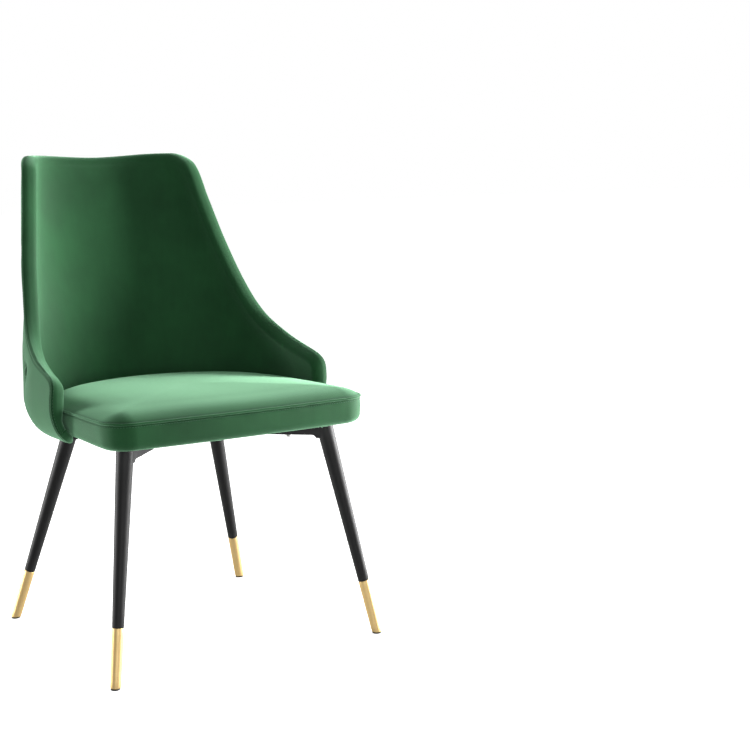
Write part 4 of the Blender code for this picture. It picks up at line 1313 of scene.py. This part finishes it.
def seat_outline(inset, z, front_steps=40, corner_steps=14, side_steps=22, rear_steps=70):
    """Closed outline of the seat, made smaller by the inset, at one height."""
    lift = min(max((z - SEAT_BOTTOM_Z) / (SEAT_SEAM_Z - SEAT_BOTTOM_Z), 0.0), 1.0)
    wide = SEAT_HALF_WIDTH - inset
    front = SEAT_FRONT_Y + inset
    corner = max(SEAT_CORNER - inset, SEAT_CORNER_LEAST)
    rear_wide = SEAT_REAR_HALF_WIDTH + SEAT_FLARE_SIDE * lift - inset
    rear = SEAT_REAR_Y + SEAT_FLARE_REAR * lift - inset
    start = SEAT_REAR_START_Y
    half = []
    for k in range(front_steps):
        t = k / front_steps
        half.append(((wide - corner) * t, front - SEAT_BOW * (1.0 - t * t)))
    for k in range(corner_steps + 1):
        angle = math.pi / 2 * k / corner_steps
        half.append((wide - corner + corner * math.sin(angle),
                     front + corner - corner * math.cos(angle)))
    for k in range(1, side_steps):
        t = k / side_steps
        half.append((wide + (rear_wide - wide) * float(smooth(t)),
                     front + corner + (start - front - corner) * t))
    power = 2.0 / SEAT_REAR_FULLNESS
    for k in range(rear_steps + 1):
        angle = math.pi / 2 * (1.0 - k / rear_steps)
        half.append((rear_wide * math.sin(angle) ** power,
                     start + (rear - start) * max(math.cos(angle), 0.0) ** power))
    half[-1] = (0.0, half[-1][1])
    loop = [(x, y, z) for x, y in half]
    loop += [(-x, y, z) for x, y in half[-2:0:-1]]
    return np.array(loop)


def crown_height(inset):
    """Height of the cushion's top at an inset from its seam."""
    return SEAT_SEAM_Z + 0.0012 + CROWN * (1.0 - math.exp(-inset / CROWN_REACH))


def fill_loop(verts, ring, rings_in, height):
    """Rings that shrink a loop towards its middle, then a fan of triangles that closes it."""
    points = np.array([verts[k] for k in ring])
    count = len(ring)
    faces = []
    previous = list(ring)
    middle = points.mean(axis=0)
    for step in range(1, rings_in + 1):
        share = 1.0 - step / (rings_in + 1)
        current = []
        for k in range(count):
            p = middle + (points[k] - middle) * share
            current.append(len(verts))
            verts.append((p[0], p[1], height(p)))
        faces += bridge(previous, current)
        previous = current
    centre = len(verts)
    verts.append((middle[0], middle[1], height(middle)))
    faces += [(previous[k], previous[(k + 1) % count], centre) for k in range(count)]
    return faces


def make_seat_cushion():
    """Crowned pad on the deck; its top puffs up by a small cloth simulation."""
    low = SEAT_BOTTOM_Z + COVER + DECK_THICKNESS + 3 * GAP
    loops = [seat_outline(0.0035, low), seat_outline(0.0030, SEAT_SEAM_Z - 0.004)]
    loops += [seat_outline(inset, crown_height(inset)) for inset in CROWN_RINGS]
    verts, faces = loft(loops)
    count = len(loops[0])
    last = list(range((len(loops) - 1) * count, len(loops) * count))
    top = crown_height(0.2)
    edge = crown_height(CROWN_RINGS[-1])
    middle = np.mean([verts[k] for k in last], axis=0)

    def crown(p):
        share = 1.0 - np.linalg.norm(p[:2] - middle[:2]) / 0.19
        return edge + (top - edge) * float(smooth(share * 1.6))

    faces += fill_loop(verts, last, 16, crown)
    faces += fill_loop(verts, list(range(count)), 6, lambda p: low)
    cushion = add_object("seat_cushion", verts, faces, VELVET)
    ease_crown(cushion)
    settle_cushion(cushion)
    height = read_places(cushion.data)[:, 2]
    # Painted shade: the cushion darkens down towards its seam at the piping.
    set_crush_and_shade(cushion, 1.0 - smooth((height - SEAT_SEAM_Z - 0.0012) / 0.0045))
    finish_piece(cushion, "velvet_green", "seat_top_cover", "seat_foam")


def neighbour_mean(mesh, values):
    """Mean of each vertex's neighbours, for rows of values."""
    ends = np.array([edge.vertices[:] for edge in mesh.edges])
    count = np.bincount(ends.ravel(), minlength=len(values))[:, None]
    total = np.zeros_like(values)
    np.add.at(total, ends[:, 0], values[ends[:, 1]])
    np.add.at(total, ends[:, 1], values[ends[:, 0]])
    return total / np.maximum(count, 1)


def ease_crown(cushion):
    """Take the mitre lines out of the crown so it swells evenly."""
    mesh = cushion.data
    places = read_places(mesh)
    share = smooth((places[:, 2] - SEAT_SEAM_Z - 0.006) / 0.010)[:, None]
    for _ in range(CROWN_SMOOTH):
        mean = neighbour_mean(mesh, places[:, 2:3])
        places[:, 2:3] += (mean - places[:, 2:3]) * 0.6 * share
    write_places(mesh, places)


def blow_up(cushion, rest):
    """Movement of each vertex in a short cloth simulation held at the seam."""
    held = cushion.vertex_groups.new(name="held")
    low = np.flatnonzero(rest[:, 2] < SEAT_SEAM_Z + CLOTH_HELD)
    held.add(low.tolist(), 1.0, "REPLACE")
    cloth = cushion.modifiers.new("cloth", "CLOTH")
    for key, value in CLOTH_SETTINGS.items():
        setattr(cloth.settings, key, value)
    cloth.settings.effector_weights.gravity = 0.0
    cloth.collision_settings.use_collision = False
    cloth.point_cache.frame_start = 1
    cloth.point_cache.frame_end = CLOTH_FRAMES
    scene = bpy.context.scene
    for number in range(1, CLOTH_FRAMES + 1):
        scene.frame_set(number)
    graph = bpy.context.evaluated_depsgraph_get()
    moved = read_places(cushion.evaluated_get(graph).to_mesh())
    cushion.modifiers.remove(cloth)
    cushion.vertex_groups.remove(held)
    scene.frame_set(1)
    return moved - rest


def settle_cushion(cushion):
    """Puff the top up, with the movement capped and smoothed, and let it wander a little."""
    mesh = cushion.data
    rest = read_places(mesh)
    wander = noise_field(11, 0.075)(rest) * 0.0012
    move = blow_up(cushion, rest)
    size = np.linalg.norm(move, axis=1)
    move *= (CLOTH_CAP * np.tanh(size / CLOTH_CAP) / np.maximum(size, TINY))[:, None]
    for _ in range(CLOTH_SMOOTH):
        move = 0.4 * move + 0.6 * neighbour_mean(mesh, move)
    rest = rest + move
    rest[:, 2] += wander * smooth((rest[:, 2] - SEAT_SEAM_Z - 0.002) / 0.012)
    write_places(mesh, rest)


BAND_STEPS = 8
BAND_SEAM_DROP = 0.0008
BAND_BULGE = 0.0011
BAND_PULL = 0.0012
PUCKER_LOW, PUCKER_FADE = 0.428, 0.016
PUCKER_DEPTH = 0.00085
WAVY_LOW, WAVY_FADE = 0.408, 0.010
WAVY_DEPTH = 0.0004


def make_seat_band():
    """Boxing band of the seat with a soft lower edge and a flange under the deck."""
    top = SEAT_SEAM_Z - BAND_SEAM_DROP
    outer = [(FLANGE_INSET, SEAT_BOTTOM_Z), (FLANGE_INSET * 0.6, SEAT_BOTTOM_Z)]
    inner = [(inset, z + COVER) for inset, z in outer]
    tight = (SEAT_BOTTOM_ROUND - COVER) / SEAT_BOTTOM_ROUND
    for k in range(BAND_STEPS + 1):
        angle = math.pi / 2 * k / BAND_STEPS
        inset = SEAT_BOTTOM_ROUND * (1.0 - math.sin(angle))
        rise = SEAT_BOTTOM_ROUND * (1.0 - math.cos(angle))
        outer.append((inset, SEAT_BOTTOM_Z + rise))
        inner.append((COVER + inset * tight, SEAT_BOTTOM_Z + COVER + rise * tight))
    begin = outer[-1][1]
    for k in range(1, BAND_STEPS + 1):
        t = k / BAND_STEPS
        bulge = BAND_BULGE * math.sin(math.pi * t) - BAND_PULL * t ** 6
        z = begin + (top - begin) * t
        outer.append((-bulge, z))
        inner.append((COVER - bulge, min(z, top - 0.0002)))
    loops = [seat_outline(inset, z) for inset, z in outer + inner[::-1]]
    verts, faces = loft(loops, closed=True)
    verts = np.array(verts)
    pucker = noise_field(21, 0.012, 14)(verts * np.array([1.0, 1.0, 0.15]))
    wavy = noise_field(22, 0.05)(verts)
    height = verts[:, 2]
    near_seam = smooth((height - PUCKER_LOW) / PUCKER_FADE) * smooth((top + 0.004 - height) / 0.004)
    side = smooth((height - WAVY_LOW) / WAVY_FADE)
    push = pucker * PUCKER_DEPTH * near_seam + wavy * WAVY_DEPTH * side
    verts[:, :2] += unit(verts[:, :2]) * push[:, None]
    band = add_object("seat_boxing_band", verts, faces, VELVET)
    height = read_places(band.data)[:, 2]
    # Painted shade: the band darkens just under the piping.
    set_crush_and_shade(band, smooth((height - top + 0.0042) / 0.0040))
    finish_piece(band, "velvet_green", "seat_band_cover")


def make_seat_welt():
    """Piped seam: a covered cord between the top and the band."""
    loops = []
    segments = 12
    for k in range(segments):
        angle = 2 * math.pi * k / segments
        inset = -0.1 * WELT_RADIUS - WELT_RADIUS * math.cos(angle)
        loops.append(seat_outline(inset, SEAT_SEAM_Z + WELT_RADIUS * math.sin(angle)))
    verts, faces = loft(loops, closed=True)
    verts = np.array(verts)
    verts += noise_field(31, 0.006, 12)(verts)[:, None] * np.array([0.00012, 0.00012, 0.00018])
    welt = add_object("seat_piping", verts, faces, VELVET)
    finish_piece(welt, "velvet_green", "seat_welt")


def make_seat_stitches():
    """Seam stitching just under the piping, all round the band."""
    path = seat_outline(BAND_STITCH_INSET, SEAT_SEAM_Z - BAND_STITCH_DROP)
    path = np.vstack([path, path[:1]])
    tangent = np.gradient(path, axis=0)
    outs = np.stack([tangent[:, 1], -tangent[:, 0], np.zeros(len(path))], axis=1)
    row = stitch_row("seat_stitches_band", path, outs, *BAND_STITCH)
    finish_piece(row, "velvet_green")


# Turned hem of the dust cloth, as inset and drop, and how deep its middle hangs.
DUST_HEM = ((0.0, 0.0), (0.002, 0.0003), (0.010, 0.0003), (0.014, 0.0))
DUST_SAG = 0.0012


def make_dust_cloth():
    """Cloth stapled under the seat, slightly slack between its staples."""
    high = SEAT_BOTTOM_Z - GAP
    count = len(seat_outline(0.0, high))

    def sag(p):
        middle = math.exp(-((p[0] / 0.16) ** 2 + ((p[1] + 0.02) / 0.15) ** 2))
        return high - DUST_THICKNESS - DUST_SAG * middle

    top = [seat_outline(DUST_INSET + inset, high) for inset, _ in DUST_HEM]
    bottom = [seat_outline(DUST_INSET + inset, high - DUST_THICKNESS - drop)
              for inset, drop in DUST_HEM]
    loops = top[::-1] + bottom
    verts, faces = loft(loops)
    faces += fill_loop(verts, list(range(count)), 10, lambda p: sag(p) + DUST_THICKNESS)
    last = list(range((len(loops) - 1) * count, len(loops) * count))
    faces += fill_loop(verts, last, 10, sag)
    cloth = add_object("dust_cloth_sheet", verts, faces, DUST)
    finish_piece(cloth, "dust_cloth_black", "seat_dust_cover")
    outline = seat_outline(DUST_INSET, high)
    staples = make_staples(high - DUST_THICKNESS)


def make_staples(z):
    """Wire staples round the edge of the dust cloth."""
    path = seat_outline(DUST_INSET + STAPLE_INSET, z)
    path = np.vstack([path, path[:1]])
    run = run_along(path)
    rng = random.Random(7)
    parts = []
    for number in range(STAPLES):
        wanted = (number + 0.5 + rng.uniform(-0.12, 0.12)) / STAPLES * run[-1]
        at = at_run(run, path, wanted)
        along = at_run(run, path, wanted + 0.003) - at
        along /= np.linalg.norm(along)
        turn = rng.uniform(-0.25, 0.25)
        along = np.array([along[0] * math.cos(turn) - along[1] * math.sin(turn),
                          along[0] * math.sin(turn) + along[1] * math.cos(turn), 0.0])
        across = np.array([-along[1], along[0], 0.0])
        down = np.array([0.0, 0.0, -1.0])
        loops = []
        for t, drop in ((-1.0, -0.0012), (-0.97, 0.0002), (-0.9, 0.0006), (0.9, 0.0006),
                        (0.97, 0.0002), (1.0, -0.0012)):
            middle = at + along * t * STAPLE_HALF_LENGTH + down * drop
            loops.append([middle + across * u * STAPLE_HALF_WIDTH + down * v * STAPLE_HALF_HEIGHT
                          for u, v in ((-1, -1), (1, -1), (1, 1), (-1, 1))])
        parts.append(loft(loops, capped=True))
    verts, faces = merge_parts(parts)
    staples = add_object("dust_cloth_staples", verts, faces, ZINC, shade_smooth=False)
    return finish_piece(staples, "zinc_fastener")


# ---------------------------------------------------------------- legs

def leg_frame(end, side):
    """Where a leg's axis meets the floor, its direction, and two directions across it."""
    foot, lean = FOOT[end], LEAN[end]
    origin = Vector((side * foot[0], foot[1], 0.0))
    along = Vector((side * lean[0], lean[1], 1.0)).normalized()
    across = along.cross(Vector((0, 0, 1))).normalized()
    return origin, along, across, along.cross(across)


def leg_loop(end, side, length, radius, plane_z=None):
    """Circle round the leg at a length from the floor, or its cut by a level plane."""
    origin, along, across, third = leg_frame(end, side)
    loop = []
    for k in range(LEG_SEGMENTS):
        angle = 2 * math.pi * k / LEG_SEGMENTS
        point = origin + along * length + (across * math.cos(angle)
                                           + third * math.sin(angle)) * radius
        if plane_z is not None:
            point += along * ((plane_z - point.z) / along.z)
        loop.append(point)
    return loop


def underside(x, y):
    """Height of the turned lower edge of the back over a place in plan."""
    _, sx, sy = sections(np.array([TURN_Z]))
    near = float(np.hypot(abs(x) - sx[0], y - sy[0]).min())
    angle = math.acos(max(1.0 - near / TURN_IN, 0.0))
    return TURN_Z - TURN_DOWN * math.sin(angle)


def leg_top_loop(end, side, radius):
    """Upper end of a leg: level in front, cut to the turned edge of the back behind."""
    loop = leg_loop(end, side, LEG_TOP_Z, radius, LEG_TOP_Z)
    if end == "front":
        return loop
    along = leg_frame(end, side)[1]
    for _ in range(6):
        loop = [p + along * ((underside(p.x, p.y) - LEG_SEAT_GAP - p.z) / along.z) for p in loop]
    return loop


def tube_radius(length):
    """Outside radius of the steel tube above the sleeve."""
    slope = (LEG_TOP_RADIUS - LEG_JOINT_RADIUS) / (LEG_LENGTH - FERRULE_LENGTH)
    return LEG_JOINT_RADIUS + slope * (length - FERRULE_LENGTH)


def spigot_radius(length):
    """Outside radius of the spigot inside the sleeve."""
    share = length / FERRULE_LENGTH
    outer = FERRULE_BOTTOM_RADIUS + (FERRULE_TOP_RADIUS - FERRULE_BOTTOM_RADIUS) * share
    return outer - FERRULE_WALL - GAP


def leg_rings(end, side, rows):
    """Circles round the leg from rows of length, radius and, for a level cut, its height."""
    return [leg_loop(end, side, *row) for row in rows]


def leg_piece(name, loops, mat, slot, node, **ends):
    """Lofted piece of a leg; real corners stay crisp under the smooth shading."""
    verts, faces = loft(loops, **ends)
    piece = add_object(name, verts, faces, mat)
    piece.data.set_sharp_from_angle(angle=math.radians(SHARP_ANGLE))
    finish_piece(piece, slot, node)


def make_tube(end, side, tag):
    """Tapered steel tube with the spigot that holds the sleeve."""
    joint = FERRULE_LENGTH + GAP
    spigot = spigot_radius(SPIGOT_LOW)
    lengths = [joint + (TUBE_RINGS_TOP - joint) * k / 12 for k in range(1, 12)]
    loops = leg_rings(end, side, [
        (SPIGOT_LOW, spigot), (joint, spigot_radius(joint)), (joint, LEG_JOINT_RADIUS - 0.0006),
        (joint + 0.0002, LEG_JOINT_RADIUS - 0.0002), (joint + 0.0008, LEG_JOINT_RADIUS)])
    loops += leg_rings(end, side, [(length, tube_radius(length)) for length in lengths])
    loops += [leg_top_loop(end, side, LEG_TOP_RADIUS),
              leg_top_loop(end, side, LEG_TOP_RADIUS - LEG_WALL)]
    loops += leg_rings(end, side, [(joint + SPIGOT_STEP, spigot_radius(joint) - LEG_WALL),
                                   (SPIGOT_LOW, spigot - LEG_WALL)])
    leg_piece(f"tube_leg_{tag}", loops, STEEL, "painted_steel_black", f"leg_{tag}", closed=True)


def make_sleeve(end, side, tag):
    """Brass-coloured sleeve with slightly rounded ends."""
    low, top = GLIDE_SHOW + GAP, FERRULE_LENGTH
    small, large = FERRULE_BOTTOM_RADIUS, FERRULE_TOP_RADIUS
    rows = [(low + up, small - cut, low + up)
            for up, cut in ((0.0, 0.0005), (0.0002, 0.00015), (0.0007, 0.0))]
    rows += [(low + (top - low) * k / 9, small + (large - small) * k / 9) for k in range(1, 9)]
    rows += [(top - down, large - cut) for down, cut in (
        (0.0010, 0.0), (0.0003, 0.00015), (0.0, 0.0005), (0.0, FERRULE_WALL))]
    rows.append((low, small - FERRULE_WALL, low))
    leg_piece(f"brass_sleeve_{tag}", leg_rings(end, side, rows), BRASS, "ferrule_brass",
              f"ferrule_{tag}", closed=True)


def make_glide(end, side, tag):
    """Plastic glide: a rounded foot with a plug inside the spigot."""
    plug = spigot_radius(SPIGOT_LOW) - LEG_WALL - GAP
    rim = FERRULE_BOTTOM_RADIUS - 0.0004
    rows = [(z, rim - cut, z) for z, cut in (
        (0.0, 0.0016), (0.0003, 0.0007), (0.0009, 0.0001), (GLIDE_SHOW - 0.0004, 0.0),
        (GLIDE_SHOW, 0.0004), (GLIDE_SHOW, rim - plug))]
    rows += [(GLIDE_PLUG_TOP - 0.001, plug), (GLIDE_PLUG_TOP, plug - 0.0006)]
    leg_piece(f"foot_glide_{tag}", leg_rings(end, side, rows), PLASTIC, "glide_plastic_black",
              f"glide_{tag}", capped=True)


# ---------------------------------------------------------------- carried-over CAD nodes

def dress_node(name, mat, bevel=0.0):
    """Give a CAD node its material and, where it shows, softly broken edges."""
    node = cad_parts[name]
    for slot in node.material_slots:
        slot.material = mat
    if bevel:
        modifier = node.modifiers.new("edges", "BEVEL")
        modifier.width = bevel
        modifier.segments = 3
        modifier.limit_method = "ANGLE"
        modifier.angle_limit = math.radians(40.0)
        modifier.harden_normals = False


def dress_nodes():
    """The CAD pieces that stay as they are: the deck and the leg fixings."""
    dress_node("seat_deck", PLYWOOD, 0.0006)
    for end in ENDS:
        for _, side_name in SIDES:
            tag = f"{end}_{side_name}"
            dress_node(f"bracket_{tag}", STEEL, 0.0007)
            dress_node(f"bolt_{tag}", ZINC, 0.0003)
            dress_node(f"washer_{tag}", ZINC, 0.0003)
            dress_node(f"insert_nut_{tag}", ZINC)


# ---------------------------------------------------------------- studio

FLOOR_HALF = 30.0

# Glow of the floor and of the world, on the chair and to the camera.
FLOOR_GLOW = (0.06, 0.78)
WORLD_GLOW = (0.28, 1.0)


def make_floor():
    """Pale paper floor that looks evenly lit to the camera and throws little light back."""
    corners = [(x * FLOOR_HALF, y * FLOOR_HALF, 0)
               for x, y in ((-1, -1), (1, -1), (1, 1), (-1, 1))]
    mesh = bpy.data.meshes.new("studio_floor")
    mesh.from_pydata(corners, [], [(0, 1, 2, 3)])
    floor = bpy.data.objects.new("studio_floor", mesh)
    bpy.context.scene.collection.objects.link(floor)
    shade = Shade("studio_paper")
    fibre = shade.noise(shade.coords(), 240.0, 3.0)
    seen = shade.node("ShaderNodeLightPath", "Is Camera Ray", {})
    shade.put("Roughness", 0.9)
    shade.put("Specular IOR Level", 0.1)
    shade.put("Emission Color", WHITE)
    shade.put("Emission Strength", shade.ranged(seen, *FLOOR_GLOW))
    shade.put("Base Color", shade.mix("MIX", seen, grey(0.45),
                                      shade.ramp(fibre, 0.3, grey(0.90), 0.7, grey(0.93))))
    mesh.materials.append(shade.mat)


def make_world():
    """White ground for the camera and a dim even light on the chair."""
    world = bpy.data.worlds.new("studio")
    bpy.context.scene.world = world
    world.use_nodes = True
    nodes = world.node_tree.nodes
    links = world.node_tree.links
    background = nodes["Background"]
    background.inputs["Color"].default_value = (*WHITE, 1.0)
    path = nodes.new("ShaderNodeLightPath")
    strength = nodes.new("ShaderNodeMapRange")
    strength.inputs["To Min"].default_value, strength.inputs["To Max"].default_value = WORLD_GLOW
    links.new(path.outputs["Is Camera Ray"], strength.inputs["Value"])
    links.new(strength.outputs["Result"], background.inputs["Strength"])


# Name, place, height aimed at, size and watts of each soft light.
LIGHTS = (("key_right", (2.6, -0.72, 0.74), 0.60, (1.0, 1.3), 208.0),
          ("front_left_fill", (-0.8, -2.4, 0.76), 0.60, (1.2, 1.1), 15.0),
          ("rear_left", (-2.4, 1.9, 0.45), 0.60, (0.9, 0.8), 76.0),
          ("top_soft", (0.1, 0.5, 2.8), 0.40, (2.0, 2.0), 3.0),
          ("rear_fill", (0.6, 3.0, 0.60), 0.60, (2.0, 1.0), 16.0))


def make_lights():
    """Soft rectangular lights, all aimed at the middle of the chair."""
    for name, place_at, aim, size, power in LIGHTS:
        data = bpy.data.lights.new(name, "AREA")
        data.shape = "RECTANGLE"
        data.size, data.size_y = size
        data.energy = power
        lamp = bpy.data.objects.new(name, data)
        lamp.location = place_at
        lamp.rotation_mode = "QUATERNION"
        toward = Vector((0.0, 0.0, aim)) - Vector(place_at)
        lamp.rotation_quaternion = toward.to_track_quat("-Z", "Y")
        bpy.context.scene.collection.objects.link(lamp)


CAMERA_LENS = 73.72
CAMERA_SENSOR = 36.0
CAMERA_SHIFT = (0.047, -0.022)
CAMERA_PLACE = (-1.25806, -2.56982, 0.86138)
CAMERA_FORWARD = (0.52783, 0.84027, -0.12383)
CAMERA_ROLL = -0.02507


def make_camera():
    """Camera at the photograph's angle; its place is in the chair's own frame."""
    data = bpy.data.cameras.new("camera")
    data.lens = CAMERA_LENS
    data.sensor_width = CAMERA_SENSOR
    data.shift_x, data.shift_y = CAMERA_SHIFT
    camera = bpy.data.objects.new("camera", data)
    forward = Vector(CAMERA_FORWARD).normalized()
    right = forward.cross(Vector((0, 0, 1))).normalized()
    side = right * math.cos(CAMERA_ROLL) + right.cross(forward) * math.sin(CAMERA_ROLL)
    turn = Matrix((side, side.cross(forward), -forward)).transposed()
    camera.rotation_mode = "QUATERNION"
    camera.rotation_quaternion = turn.to_quaternion()
    camera.location = Vector(CAMERA_PLACE) - Vector((0.0, CENTRE_Y, 0.0))
    bpy.context.scene.collection.objects.link(camera)
    bpy.context.scene.camera = camera


# ---------------------------------------------------------------- whole scene

make_plywood_shell()
make_outer_pad()
make_inner_pad()
make_hem()
make_rim_stitches()
make_buttons()
make_seat_cushion()
make_seat_band()
make_seat_welt()
make_seat_stitches()
make_dust_cloth()
for end_name in ENDS:
    for side_sign, side_label in SIDES:
        for make in (make_tube, make_sleeve, make_glide):
            make(end_name, side_sign, f"{end_name}_{side_label}")
dress_nodes()
make_floor()
make_world()
make_lights()
make_camera()
bpy.context.scene.view_settings.view_transform = "Standard"
